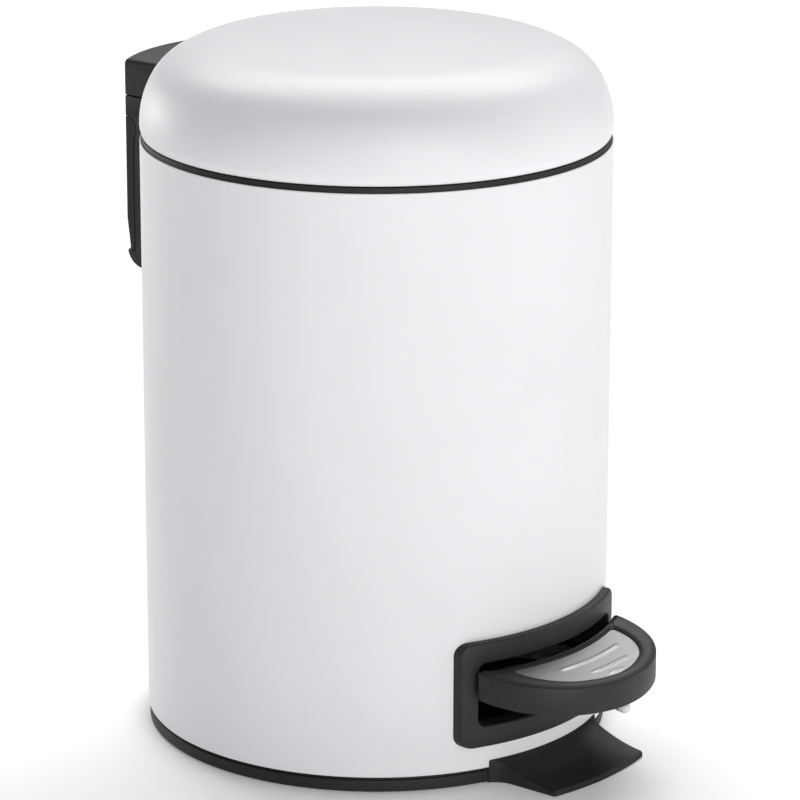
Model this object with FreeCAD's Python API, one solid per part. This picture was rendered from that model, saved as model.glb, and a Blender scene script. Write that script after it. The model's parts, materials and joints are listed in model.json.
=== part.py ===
import FreeCAD, Part
import math
import os

# Pedal trash can, millimetres.  +Z up, origin on the floor on the can's axis.
# The pedal points along -Y and the lid's hinge is on the +Y side.

V = FreeCAD.Vector
os.makedirs("parts", exist_ok=True)

# ---------------------------------------------------------------- driving sizes
snug = 0.1              # between pieces that are clipped or screwed together
running = 0.3           # between pieces that move past each other
pin_play = 0.05         # radial play of a pin in its hole

# steel body
body_radius = 84.0      # outside of the shell
body_top = 216.6        # upper edge of the shell
shell_bottom = 6.0
shell_wall = 0.6

# base
base_recess = 0.5       # the base ring is this much smaller than the shell in radius
base_lift = 0.5         # the pan stands this high over the floor, on the rubber ring
base_band = 4.8         # top of the visible band; a shadow groove follows above it
groove_depth = 0.9
groove_rest = 0.6       # of the groove's height is filled behind the foot's tongue
floor_under = 2.5
floor_thick = 2.0
base_plug_top = 12.4
base_plug_wall = 2.1
base_floor_overlap = 0.5
grip_ring_inner_inset = 8.0     # the rubber ring's edges inside the shell's outside
grip_ring_outer_inset = 3.0
grip_ring_bed = 1.2     # plastic inwards of the rubber ring
grip_ring_height = 1.6

# front foot
foot_seam_angle = 22.4  # degrees each side of the pedal
foot_reach = 23.4       # beyond the shell
foot_half_width = 26.4
foot_tip_half_width = 25.2
foot_tip_height = 2.5
foot_root_height = 10.4
foot_mid_height = 4.777 # halfway between root and tip
foot_root_inset = 3.0   # where the upper face's curve starts, inside the shell's outside
foot_blend = 5.0        # width of the blend between the tongue and the ring
foot_blend_length = 4.0
foot_blend_bulge = 1.2  # middle of the blend, beside and before its start
foot_blend_rise = 0.1
foot_lift = 0.3
foot_tab_half_width = 20.0
foot_tab_height = 1.4
foot_tab_start = 1.5
foot_tab_length = 19.0
foot_tab_room = 10.0    # the pan's plug is open this far inwards for the tab
foot_screw_inset = 14.0
foot_screw_spacing = 24.0
seam_clearance = 0.1    # degrees, between the foot's ring piece and the pan's band

# lid
lid_gap = 2.4           # shadow gap over the shell's edge
lid_overhang = 0.0      # lid's radius beyond the shell's
lid_wall = 0.6
lid_edge_curl = 0.8
lid_edge_height = 3.5   # the shoulder starts here
lid_edge_mid_curl = 0.24        # halfway up the curled edge
lid_edge_mid_height = 1.6
lid_lower_radius = 32.5 # the shoulder's three arcs, from the side to the top
lid_turn_radius = 21.2
lid_upper_radius = 40.8
lid_lower_tilt = 60.0   # degrees from level where an arc gives way to the next
lid_upper_tilt = 30.0
lid_crown_tilt = 8.0    # and where the domed crown starts
liner_lift = 1.6        # liner's underside over the lid's edge
liner_thick = 1.6
liner_inset = 0.6
liner_wall = 1.6
liner_wall_rise = 3.6
liner_slot_inset = 4.0  # liner's rear slots reach this far under the bracket
crank_room_inset = 8.0
liner_step = 0.2        # liner's widest part starts this much above the lid's curled edge
bumper_height_gap = 0.3 # bumpers over the rim ring
bumper_width = 1.2
bumper_half_angle = 4.0

# rim ring and bucket
rim_wall = 1.7
rim_depth = 11.6        # how far the ring reaches down inside the shell
rim_rise = 2.0          # over the shell's edge
ledge_drop = 3.6        # ledge below the shell's edge
ledge_thick = 2.0
ledge_width = 4.1
rim_notch_gap = 1.3     # the ring's rear notch is this much wider than the shell's slot
flange_thick = 1.8
flange_gap = 1.1
bucket_wall = 1.6
bucket_head_gap = 0.95  # bucket's outside to the push rod's head, at the top
bucket_notch_gap = 1.8  # the flange's rear notch is this much wider than the shell's slot
bucket_draft = 4.5
bucket_bottom = 46.0
bucket_floor = 2.0

# bail of the bucket
bail_wire = 2.4
bail_lift = 2.2         # wire's centre over the flange
bail_inset = 1.7        # wire's centre inside the flange's edge
bail_ear = 2.0
bail_ear_half_width = 3.0
bail_ear_wall = 0.8     # plastic over the wire's hole
bail_ear_gap = 0.4      # between the hoop and the ear
grip_diameter = 4.2
grip_half_angle = 20.0

# pedal
pedal_half_width = 39.4
pedal_back_half_width = 38.2
pedal_reach = 33.4      # beyond the shell
pedal_front_radius = 44.5
pedal_shoulder = 22.5   # half-width at which the front arc ends
pedal_back_gap = 1.6    # to the surround's face
pedal_height = 45.2     # upper face above the shell's front
pedal_tilt = 0.1        # drop per millimetre towards the tip
pedal_depth = 11.0
pedal_top_thick = 2.4
pedal_wall = 2.6
pedal_chamfer = 0.9
pedal_corner = 2.0
tread_thick = 1.0
tread_inset = 4.8
tread_half_width = 30.5
tread_back_gap = 2.5
tread_play = 0.15
pedal_screw_spacing = 9.0
pedal_screw_reach = 12.0        # beyond the shell

# pedal surround
surround_half_width = 42.6
surround_bottom = 15.3
surround_top = 54.2
surround_proud = 3.2
surround_corner = 4.5
window_half_width = 36.4
window_bottom = 23.2
window_top = 46.5
window_corner = 3.0
surround_lip = 1.9      # plastic between the window and the hole in the shell
surround_depth = 2.6    # how far the surround reaches inside the shell
hook_height = 1.6
hook_half_width = 8.0
surround_edge = 0.6     # rounding of the face's edges

# lever
pivot_y = -10.5
pivot_z = 28.5
lever_thick = 1.6
lever_half_width = 7.0
lever_drop = 2.6        # lever's upper face under the pedal's upper face
lever_reach = 28.0      # lever's front end beyond the shell
lever_bend_inset = 1.0  # bend under the pedal, inside the shell's outside
lever_pin_z = 16.8
lever_end_gap = 7.5     # strip ends this far before the rod; the ears go on
ear_length = 11.0
axle_radius = 2.5
bush_wall = 1.9
bush_half_length = 11.4
bracket_thick = 4.0
bracket_half_gap = 12.0
bracket_length = 16.0
bracket_head_radius = 5.0
bracket_foot_thick = 2.0
bracket_foot_width = 8.0
bracket_screw_gap = 4.0 # bracket's outer face to its screws' axes
bracket_screw_spacing = 8.0
axle_end = 2.6          # axle beyond the brackets
axle_groove_start = 1.8 # from the axle's end
axle_groove_width = 0.9
axle_groove_depth = 0.6
clip_width = 0.8
clip_rim = 1.8
clip_half_gap = 1.2
collar_wall = 1.8
pin_radius = 2.0
pin_head = 0.8          # height of a pin's heads
pin_head_rim = 0.8
ear_gap = 3.6
ear_thick = 2.4
ear_radius = 3.2
pedal_pin_radius = 1.8
pedal_pin_z = 28.6
pedal_pin_x = 1.0
pedal_pin_start = 16.0  # behind the pedal's tip
pedal_pin_end = 4.6
pedal_cap_radius = 2.0
pedal_cap_length = 1.6  # of the cap's round body, before its dome
pin_rib_half_width = 1.1
pin_rib_end = 13.0      # behind the pedal's tip

# push rod
rod_radius = 1.75
rod_inset = 5.5         # rod's axis inside the shell's outside
rod_ahead = 1.0         # rod's axis before the crank pin's foremost place
yoke_half_width = 3.0
yoke_play = 0.45
yoke_wall = 1.6
foot_yoke_wall = 1.3    # walls of the yoke at the rod's lower end
foot_yoke_front = 1.2
foot_yoke_back = 1.0
guide_half_width = 8.0
guide_half_height = 4.0
guide_wall = 2.0
lever_swing = 0.8       # how far the lever's pin wanders along Y

# hinge
hinge_back = 12.5       # hinge axis behind the shell
hinge_rise = 7.4        # hinge axis over the shell's edge
crank_rest = 37.5       # degrees below the horizontal when the lid is shut
cheek_gap = 3.4
cheek_thick = 2.5
web_start = 12.0        # web's front end before the bracket's rear edge
web_low = 3.0           # web's edges at the hinge, under and over its axis
web_high = 2.6
web_front_height = 4.2
crank_width = 7.0
knuckle_radius = 4.2
knuckle_end = 9.6
lug_gap = 10.0
lug_thick = 3.5
lug_boss_radius = 3.5
lug_arm_drop = 30.0     # lug's lower end under the shell's edge
lug_arm_thick = 3.2
lug_arm_gap = 0.6       # lug's front edge behind the shell's outside
lug_arm_front_high = 2.2        # its front edge ends this much over the hinge axis
lug_arm_low = 3.4       # lug's edges at the hinge, under and over its axis
lug_arm_high = 2.6
hinge_plate_thick = 2.4
hinge_plate_half_width = 15.0
hinge_plate_drop = 56.4 # the following drops are measured from the shell's edge
hinge_plate_top_drop = 0.6
backing_thick = 2.0
backing_margin = 2.0    # backing plate's lower edge above the hinge plate's
backing_ring_gap = 1.5
hinge_screw_spacing = 22.0
hinge_screw_drops = (50.0, 21.0)
hinge_screw_length = 5.2
housing_screw_spacing = 36.4
housing_screw_drop = 27.0
housing_screw_length = 9.4
slot_half_width = 7.2
slot_drop = 32.6
lid_slot_half_width = 16.0
lid_slot_height = 8.0
bracket_plate_half_width = 14.0
bracket_plate_back = 2.0
bracket_plate_length = 32.0
bracket_plate_thick = 1.5
lid_screw_spacing = 21.0
lid_screw_insets = (10.0, 26.0) # from the bracket's rear edge
crank_room = 0.8        # liner's slot beside the crank

# hinge housing
housing_half_width = 28.0
housing_radius = 58.0
housing_back = 7.5      # apex of its rear face behind the hinge axis
housing_drop = 58.9     # lower edge
housing_corner = 7.0
housing_wall = 2.0
housing_void_half_width = 20.7
housing_side_rise = 5.0
housing_rear_drop = 2.7
housing_lid_gap = 0.5
boss_cap_drop = 1.5
pad_start = 15.8        # inner side of the pads that take the housing's screws
pad_half_height = 5.0
pad_reach = 7.0         # behind the shell
cover_bottom = 5.6
cover_top = 18.9
cover_slope = 1.3
cover_corner = 2.0
cover_tilt = 0.0224     # fall of its top per millimetre towards the rear
cover_reach = 12.0      # cover's front edge inside the shell's outside
cover_skirt_drop = 0.4
cover_skirt_half_width = 25.7

# carry handle
handle_thick = 3.0
handle_grip_edge = 1.6  # thickness at the grip's lower edge
handle_leg_width = 5.0
handle_drop = 52.6      # lower edge
handle_grip_height = 12.0
handle_pivot_drop = 7.1
handle_pivot_inset = 7.7        # before the housing's apex
handle_boss_radius = 4.5
handle_pin_radius = 1.3
handle_pin_cover = 1.2  # plastic outside the pin's end
pocket_depth = 6.4
pocket_inset = 2.0      # pocket's sides inside the legs
pocket_drop = 13.6
leg_void_rise = 5.0     # hollow behind each leg: over the floor, and under the pivot
leg_void_drop = 8.0
leg_void_reach = 6.5

# damper
damper_radius = 3.9
damper_back = 6.9
damper_length = 22.3
damper_floor = 0.8
damper_rod_radius = 1.5
damper_rod_gap = 0.3    # piston rod over the cylinder's floor
damper_arm_height = 3.0
damper_arm_drop = 29.6
damper_arm_wall = 1.6
shelf_thick = 1.5
shelf_half_width = 6.0
shelf_margin = 0.4

# screws
screw_radius = 1.5
screw_head_radius = 2.7
screw_head = 1.3

# small fits
fit_gap = 0.02          # keeps touching faces of separate pieces apart
pin_tip_step = 0.2
overlap = 0.5           # how far parts of one piece run into each other

# ---------------------------------------------------------------- derived places
shell_inner = body_radius - shell_wall
backing_outer = shell_inner - snug / 2
lid_radius = body_radius + lid_overhang
lid_edge = body_top + lid_gap
lid_shoulder_z = lid_edge + lid_edge_height
floor_top = floor_under + floor_thick
base_radius = body_radius - base_recess
groove_radius = base_radius - groove_depth
plug_radius = shell_inner - snug
plug_inner = plug_radius - base_plug_wall
foot_ring_inner = plug_inner + base_floor_overlap
grip_ring_inner = body_radius - grip_ring_inner_inset
grip_ring_outer = body_radius - grip_ring_outer_inset
ring_inner = shell_inner - snug - rim_wall
ledge_top = body_top - ledge_drop
flange_radius = ring_inner - flange_gap
flange_top = ledge_top + flange_thick
bail_radius = flange_radius - bail_inset
bail_z = flange_top + bail_lift
ear_out = bail_radius - bail_wire / 2 - bail_ear_gap
liner_bottom = lid_edge + liner_lift
liner_top = liner_bottom + liner_thick
hinge_y = body_radius + hinge_back
hinge_z = body_top + hinge_rise
rod_y = body_radius - rod_inset
crank_length = hinge_y - rod_y - rod_ahead
crank_y = hinge_y - crank_length * math.cos(math.radians(crank_rest))
crank_z = hinge_z - crank_length * math.sin(math.radians(crank_rest))
yoke_bore = pin_radius + yoke_play
rod_head_front = hinge_y - crank_length - yoke_bore - yoke_wall
bucket_top_radius = rod_head_front - bucket_head_gap
housing_y = hinge_y + housing_back
housing_centre = housing_y - housing_radius
surround_face = body_radius + surround_proud
pedal_tip = body_radius + pedal_reach
foot_tip = body_radius + foot_reach
handle_y = housing_y - handle_pivot_inset
handle_z = body_top - handle_pivot_drop
damper_y = body_radius + damper_back
damper_z = body_top - hinge_plate_drop + shelf_thick
handle_inner = housing_half_width - handle_leg_width
bush_radius = axle_radius + pin_play + bush_wall
collar_radius = bush_radius + pin_play + collar_wall
axle_half_length = bracket_half_gap + bracket_thick + axle_end
bracket_back = body_radius - bracket_plate_back
cut_reach = body_radius * 1.5   # beyond everything that a cut along Y goes through
above_all = body_top * 2


# ---------------------------------------------------------------- helpers
def box(x0, x1, y0, y1, z0, z1):
    return Part.makeBox(x1 - x0, y1 - y0, z1 - z0, V(x0, y0, z0))


def tube(outer, inner, z0, z1):
    """Upright ring about the can's axis; inner 0 gives a disc."""
    ring = Part.makeCylinder(outer, z1 - z0, V(0, 0, z0))
    if inner > 0:
        ring = ring.cut(Part.makeCylinder(inner, z1 - z0, V(0, 0, z0)))
    return ring


def cylinder(start, end, radius):
    start, end = V(*start), V(*end)
    return Part.makeCylinder(radius, (end - start).Length, start, end - start)


def cross_pin(y, z, radius, x0, x1):
    return cylinder((x0, y, z), (x1, y, z), radius)


def pair(shape):
    """The shape and its mirror image as two separate solids."""
    return Part.makeCompound(both_ways(shape))


def fuse_all(first, *others):
    shape = first
    for other in others:
        shape = shape.fuse(other)
    return shape.removeSplitter()


def both_ways(shape):
    """The shape and its mirror image across the YZ plane, ready to be fused or cut."""
    return shape, shape.mirror(V(0, 0, 0), V(1, 0, 0))


def cut_all(shape, *tools):
    for tool in tools:
        shape = shape.cut(tool)
    return shape


def sector(outer, inner, middle, half, z0, z1):
    """Slice of an upright ring about a middle direction, in degrees from +X towards +Y."""
    ring = Part.makeCylinder(outer, z1 - z0, V(0, 0, z0), V(0, 0, 1), 2 * half)
    ring.rotate(V(0, 0, 0), V(0, 0, 1), middle - half)
    return ring.cut(Part.makeCylinder(inner, z1 - z0, V(0, 0, z0)))


def rounded_window(half_width, z0, z1, corner, y0, y1):
    """Block seen along Y as a rectangle with round corners."""
    block = box(-half_width, half_width, y0, y1, z0, z1)
    edges = [e for e in block.Edges if abs(e.tangentAt(e.FirstParameter).y) > 0.9]
    return block.makeFillet(corner, edges)


def headed_pin(y, z, half_length):
    """Pin along X with a round head at each end and its riveted tips beyond them."""
    pin = cross_pin(y, z, pin_radius, -half_length, half_length)
    head = cross_pin(y, z, pin_radius + pin_head_rim, half_length + fit_gap, half_length + pin_head)
    tip = half_length + pin_head / 2
    return fuse_all(pin, *both_ways(head), cross_pin(y, z, pin_radius - pin_tip_step, -tip, tip))


def screw(start, seat, end, head_end):
    """Screw between two points, with its head between its seat and head_end."""
    head = cylinder(seat, head_end, screw_head_radius)
    return head.fuse(cylinder(start, end, screw_radius))


def side_plate(points, x0, x1):
    """Flat plate cut to an outline of (y, z) points."""
    corners = [V(x0, y, z) for y, z in points]
    return Part.Face(Part.makePolygon(corners + corners[:1])).extrude(V(x1 - x0, 0, 0))


def side_link(start, end, width, x0, x1):
    """Flat link between two (y, z) points, as wide as its round ends."""
    (ya, za), (yb, zb) = start, end
    length = math.hypot(yb - ya, zb - za)
    ny, nz = -(zb - za) / length * width / 2, (yb - ya) / length * width / 2
    outline = [(ya + ny, za + nz), (yb + ny, zb + nz), (yb - ny, zb - nz), (ya - ny, za - nz)]
    bar = side_plate(outline, x0, x1)
    return fuse_all(bar, cross_pin(ya, za, width / 2, x0, x1), cross_pin(yb, zb, width / 2, x0, x1))


def side_strip(path, thick, half_width):
    """Strip of sheet metal bent along (y, z) points, with mitred bends."""
    upper, lower = [], []
    for i, (y, z) in enumerate(path):
        before, after = path[max(i - 1, 0)], path[min(i + 1, len(path) - 1)]
        directions = []
        for (y0, z0), (y1, z1) in ((before, (y, z)), ((y, z), after)):
            length = math.hypot(y1 - y0, z1 - z0)
            if length > 0:
                directions.append(((y1 - y0) / length, (z1 - z0) / length))
        ty = sum(d[0] for d in directions)
        tz = sum(d[1] for d in directions)
        size = math.hypot(ty, tz)
        ty, tz = ty / size, tz / size
        reach = thick / 2 / (ty * directions[0][0] + tz * directions[0][1])
        upper.append((y - tz * reach, z + ty * reach))
        lower.append((y + tz * reach, z - ty * reach))
    return side_plate(upper + lower[::-1], -half_width, half_width)


def revolved(edges):
    face = Part.Face(Part.Wire(Part.__sortEdges__(edges)))
    return face.revolve(V(0, 0, 0), V(0, 0, 1), 360)


def line(a, b):
    return Part.LineSegment(V(*a), V(*b)).toShape()


def arc(a, b, c):
    return Part.Arc(V(*a), V(*b), V(*c)).toShape()


def save(name, shape):
    shape.exportStep("parts/" + name + ".step")
    solids = shape.Solids
    print(name, len(solids), "solids", round(sum(s.Volume for s in solids) / 1000, 2), "cm3",
          "valid" if shape.isValid() else "NOT VALID")


# ---------------------------------------------------------------- shared outlines
def lid_arcs():
    """(x, z, radius, start tilt, end tilt) of the arcs from the lid's side to its crown."""
    lower, upper, crown = (math.radians(t) for t in (lid_lower_tilt, lid_upper_tilt, lid_crown_tilt))
    x, z, radius = lid_radius - lid_lower_radius, lid_shoulder_z, lid_lower_radius
    arcs = [(x, z, radius, math.pi / 2, lower)]
    for following, start, end in ((lid_turn_radius, lower, upper), (lid_upper_radius, upper, crown)):
        x += (radius - following) * math.sin(start)
        z += (radius - following) * math.cos(start)
        radius = following
        arcs.append((x, z, radius, start, end))
    # the crown's centre is on the lid's axis
    crown_radius = radius + x / math.sin(crown)
    arcs.append((0, z + (radius - crown_radius) * math.cos(crown), crown_radius, crown, 0))
    return arcs


def lid_profile(offset):
    """Edges from the lid's lower edge to its crown, drawn offset inside its outer surface."""
    rim = lid_radius - offset
    edge_low = (rim - lid_edge_curl, 0, lid_edge)
    edge_mid = (rim - lid_edge_mid_curl, 0, lid_edge + lid_edge_mid_height)
    edges = [arc(edge_low, edge_mid, (rim, 0, lid_shoulder_z))]
    for x, z, radius, start, end in lid_arcs():
        reach = radius - offset
        points = [(x + reach * math.sin(tilt), 0, z + reach * math.cos(tilt))
                  for tilt in (start, (start + end) / 2, end)]
        edges.append(arc(*points))
    return edges, edge_low, points[-1]


def lid_solid(offset):
    """Filled dome as large as the lid's outer surface moved inwards by offset."""
    edges, edge_low, crown = lid_profile(offset)
    foot = (0, 0, lid_edge)
    return revolved(edges + [line(crown, foot), line(foot, edge_low)])


def housing_prism(inset, half_width, z0, z1):
    """Space behind the can bounded by the housing's rounded rear face."""
    back = Part.makeCylinder(housing_radius - inset, z1 - z0, V(0, housing_centre, z0))
    return back.common(box(-half_width, half_width, body_radius / 2, housing_y - inset, z0, z1))


def behind_housing(inset, half_width, z0, z1):
    """The same outline with room behind it, for cuts that run out of the rear face."""
    return box(-half_width, half_width, housing_centre, cut_reach, z0, z1).cut(
        Part.makeCylinder(housing_radius - inset, z1 - z0, V(0, housing_centre, z0)))


def rear_slot():
    """Slot in the shell and the plates through which the crank passes."""
    return box(-slot_half_width, slot_half_width, 0, cut_reach, body_top - slot_drop, body_top + 1)


def rear_box(half_width, z0, z1):
    return box(-half_width, half_width, 0, cut_reach, z0, z1)


def pedal_plane(y):
    return pedal_height + pedal_tilt * (y + body_radius)


def pedal_outline(inset):
    """Face of the pedal seen from above, drawn inset inside its edge, at z = 0."""
    tip = pedal_tip - inset
    front = pedal_front_radius - inset
    centre_y = front - tip
    shoulder_x = pedal_shoulder * front / pedal_front_radius
    shoulder_y = centre_y - math.sqrt(front ** 2 - shoulder_x ** 2)
    slope = math.asin(shoulder_x / front)
    half = pedal_half_width - inset
    back_radius = surround_face + pedal_back_gap + inset
    back_x = pedal_back_half_width - inset
    back_y = -math.sqrt(back_radius ** 2 - back_x ** 2)
    # the side arc leaves the front arc along its tangent and ends upright at the half-width
    side_radius = (half - shoulder_x) / (1 - math.sin(slope))
    side_end_y = shoulder_y + side_radius * math.cos(slope)
    mid_angle = (slope + math.pi / 2) / 2
    side_mid = (half - side_radius * (1 - math.sin(mid_angle)),
                side_end_y - side_radius * math.cos(mid_angle))
    corner_y = max(side_end_y, back_y - pedal_corner)
    edges = [
        arc((-shoulder_x, shoulder_y, 0), (0, -tip, 0), (shoulder_x, shoulder_y, 0)),
        arc((back_x, back_y, 0), (0, -back_radius, 0), (-back_x, back_y, 0)),
    ]
    for s in (1, -1):
        edges.append(arc((s * shoulder_x, shoulder_y, 0), (s * side_mid[0], side_mid[1], 0),
                         (s * half, side_end_y, 0)))
        if corner_y > side_end_y:
            edges.append(line((s * half, side_end_y, 0), (s * half, corner_y, 0)))
        edges.append(line((s * half, corner_y, 0), (s * back_x, back_y, 0)))
    return Part.Face(Part.Wire(Part.__sortEdges__(edges)))


def pedal_slab(inset, down_0, down_1):
    """Part of the pedal's plan between two depths under its sloping upper face."""
    prism = pedal_outline(inset).extrude(V(0, 0, pedal_height * 2))
    near, far = 0, -pedal_tip * 2
    layer = side_plate([(near, pedal_plane(near) - down_0), (far, pedal_plane(far) - down_0),
                        (far, pedal_plane(far) - down_1), (near, pedal_plane(near) - down_1)],
                       -pedal_half_width * 2, pedal_half_width * 2)
    return prism.common(layer)


# ---------------------------------------------------------------- body
def outer_shell():
    shell = tube(body_radius, shell_inner, shell_bottom, body_top)
    window = rounded_window(window_half_width + surround_lip, window_bottom - surround_lip,
                            window_top + surround_lip, window_corner + surround_lip, -cut_reach, 0)
    return cut_all(shell, window, rear_slot(), *hinge_screw_holes(), *housing_screw_holes())


def top_rim_ring():
    wall = tube(shell_inner - snug, ring_inner, body_top - rim_depth, body_top + rim_rise)
    ledge = tube(ring_inner + overlap, ring_inner - ledge_width, ledge_top - ledge_thick, ledge_top)
    notch = rear_box(slot_half_width + rim_notch_gap, 0, above_all)
    return fuse_all(wall, ledge).cut(notch)


def base_pan():
    pan = fuse_all(
        tube(base_radius, grip_ring_inner - grip_ring_bed, base_lift, floor_under + base_floor_overlap),
        tube(base_radius, plug_inner, base_lift, base_band),
        tube(groove_radius, plug_inner, base_band, shell_bottom),
        tube(plug_radius, plug_inner, shell_bottom, base_plug_top),
        tube(plug_inner + overlap, 0, floor_under, floor_top),
    )
    bed = tube(grip_ring_outer, grip_ring_inner, base_lift, grip_ring_height)
    front = sector(body_radius * 1.1, foot_ring_inner - snug, -90, foot_seam_angle + seam_clearance,
                   0, shell_bottom)
    tab_half = foot_tab_half_width + 2 * snug
    tab_room = box(-tab_half, tab_half, -cut_reach, -body_radius + foot_tab_room,
                   floor_top, shell_bottom)
    screws = [cylinder((x, y, 0), (x, y, floor_top + 1), screw_radius + pin_play)
              for x, y in base_screw_places() + bracket_screw_places()]
    return cut_all(pan, bed, front, tab_room, *screws)


def anti_slip_ring():
    return tube(grip_ring_outer - snug, grip_ring_inner + snug, 0, grip_ring_height)


def base_screw_places():
    return [(x, -body_radius + foot_screw_inset) for x in (-foot_screw_spacing / 2, foot_screw_spacing / 2)]


def base_screws():
    return Part.makeCompound([
        screw((x, y, floor_under), (x, y, floor_under), (x, y, floor_top + foot_tab_height),
              (x, y, floor_under - screw_head)) for x, y in base_screw_places()])


def front_foot():
    half = foot_seam_angle
    ring = fuse_all(
        sector(base_radius, foot_ring_inner, -90, half, foot_lift, base_band),
        sector(groove_radius, foot_ring_inner, -90, half, base_band, shell_bottom),
    )
    # tongue: sides drawn in towards the tip, a round front edge, hollow blends at the ring
    tip_y = -math.sqrt(foot_tip ** 2 - foot_tip_half_width ** 2)
    root_y = -math.sqrt(base_radius ** 2 - foot_half_width ** 2)
    wide = foot_half_width + foot_blend
    wide_y = -math.sqrt(base_radius ** 2 - wide ** 2)
    blend_y = root_y - foot_blend_length
    blend_mid = (foot_half_width + foot_blend_bulge, root_y - foot_blend_rise)
    back_y = -body_radius / 2
    edges = [arc((-foot_tip_half_width, tip_y, 0), (0, -foot_tip, 0), (foot_tip_half_width, tip_y, 0)),
             line((-wide, back_y, 0), (wide, back_y, 0))]
    for s in (1, -1):
        edges.append(line((s * foot_tip_half_width, tip_y, 0), (s * foot_half_width, blend_y, 0)))
        edges.append(arc((s * foot_half_width, blend_y, 0), (s * blend_mid[0], blend_mid[1], 0),
                         (s * wide, wide_y, 0)))
        edges.append(line((s * wide, wide_y, 0), (s * wide, back_y, 0)))
    plan = Part.Face(Part.Wire(Part.__sortEdges__(edges)))
    tongue = plan.extrude(V(0, 0, foot_root_height * 2))
    tongue.translate(V(0, 0, foot_lift))
    # upper face: a hollow curve falling from the shell to the tip
    start, end, beyond = -body_radius + foot_root_inset, -foot_tip, -foot_tip * 1.1
    high, x0 = foot_root_height * 3, -wide * 1.2
    above = Part.Face(Part.Wire(Part.__sortEdges__([
        arc((x0, start, foot_root_height), (x0, (start + end) / 2, foot_mid_height),
            (x0, end, foot_tip_height)),
        line((x0, end, foot_tip_height), (x0, beyond, foot_tip_height)),
        line((x0, beyond, foot_tip_height), (x0, beyond, high)),
        line((x0, beyond, high), (x0, back_y, high)),
        line((x0, back_y, high), (x0, back_y, foot_root_height)),
        line((x0, back_y, foot_root_height), (x0, start, foot_root_height)),
    ]))).extrude(V(-2 * x0, 0, 0))
    tongue = tongue.common(sector(foot_tip * 1.1, foot_ring_inner, -90, half, 0, high))
    tongue = cut_all(tongue, above, tube(body_radius + snug, 0, shell_bottom - snug, high),
                     tube(body_radius + snug, groove_radius, base_band + groove_rest, shell_bottom))
    tab = box(-foot_tab_half_width, foot_tab_half_width, -body_radius + foot_tab_start,
              -body_radius + foot_tab_length, floor_top, floor_top + foot_tab_height)
    holes = [cylinder((x, y, 0), (x, y, high), screw_radius + pin_play) for x, y in base_screw_places()]
    return cut_all(fuse_all(ring, tongue, tab), *holes)


def pedal_surround():
    frame = rounded_window(surround_half_width, surround_bottom, surround_top, surround_corner, -cut_reach, 0)
    frame = frame.common(tube(surround_face, body_radius + snug / 2, 0, body_top))
    lip = surround_lip - snug
    neck = rounded_window(window_half_width + lip, window_bottom - lip, window_top + lip,
                          window_corner + lip, -cut_reach, 0)
    inner = shell_inner - surround_depth
    neck = neck.common(tube(body_radius + overlap, inner, 0, body_top))
    reach = surround_lip + hook_height
    hooks = box(-hook_half_width, hook_half_width, -cut_reach, 0, window_bottom - reach, window_top + reach)
    hooks = hooks.common(tube(shell_inner - snug, inner, 0, body_top))
    window = rounded_window(window_half_width, window_bottom, window_top, window_corner, -cut_reach, 0)
    frame = fuse_all(frame, neck, hooks).cut(window)
    face_edges = [e for e in frame.Edges if all(
        abs(math.hypot(v.Point.x, v.Point.y) - surround_face) < 0.01 for v in e.Vertexes)]
    return frame.makeFillet(surround_edge, face_edges)


# ---------------------------------------------------------------- lid
def lid_shell():
    outer, outer_low, outer_crown = lid_profile(0)
    inner, inner_low, inner_crown = lid_profile(lid_wall)
    shell = revolved(outer + inner + [line(outer_low, inner_low), line(outer_crown, inner_crown)])
    return shell.cut(rear_box(lid_slot_half_width, 0, lid_edge + lid_slot_height))


def lid_liner():
    inside = lid_radius - lid_wall
    low = inside - liner_inset
    wall_in = low - liner_wall
    step = lid_edge + lid_edge_height + liner_step
    top = liner_bottom + liner_wall_rise
    liner = fuse_all(
        tube(low, 0, liner_bottom, liner_top),
        tube(low, wall_in, liner_top - overlap, step),
        tube(inside - snug, wall_in, step, top),
    )
    slot = box(-lid_slot_half_width, lid_slot_half_width, bracket_back - liner_slot_inset, cut_reach,
               0, above_all)
    wall_slot = rear_box(lid_slot_half_width, liner_top + fit_gap, above_all)
    crank_slot = box(-slot_half_width - crank_room, slot_half_width + crank_room,
                     bracket_back - crank_room_inset, body_radius, 0, above_all)
    return cut_all(liner, slot, wall_slot, crank_slot, *lid_screw_holes())


def lid_screw_places():
    return [(x, bracket_back - inset) for x in (-lid_screw_spacing / 2, lid_screw_spacing / 2)
            for inset in lid_screw_insets]


def lid_screw_holes():
    return [cylinder((x, y, liner_bottom - 1), (x, y, liner_top + bracket_plate_thick + 1),
                     screw_radius + pin_play) for x, y in lid_screw_places()]


def lid_screws():
    return Part.makeCompound([
        screw((x, y, liner_bottom), (x, y, liner_bottom), (x, y, liner_top + bracket_plate_thick),
              (x, y, liner_bottom - screw_head)) for x, y in lid_screw_places()])


def lid_bumpers():
    outer = lid_radius - lid_edge_curl - lid_wall - snug
    bottom = body_top + rim_rise + bumper_height_gap
    return Part.makeCompound([
        sector(outer, outer - bumper_width, angle, bumper_half_angle, bottom, liner_bottom)
        for angle in (45, 135, 225, 315)])


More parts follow.
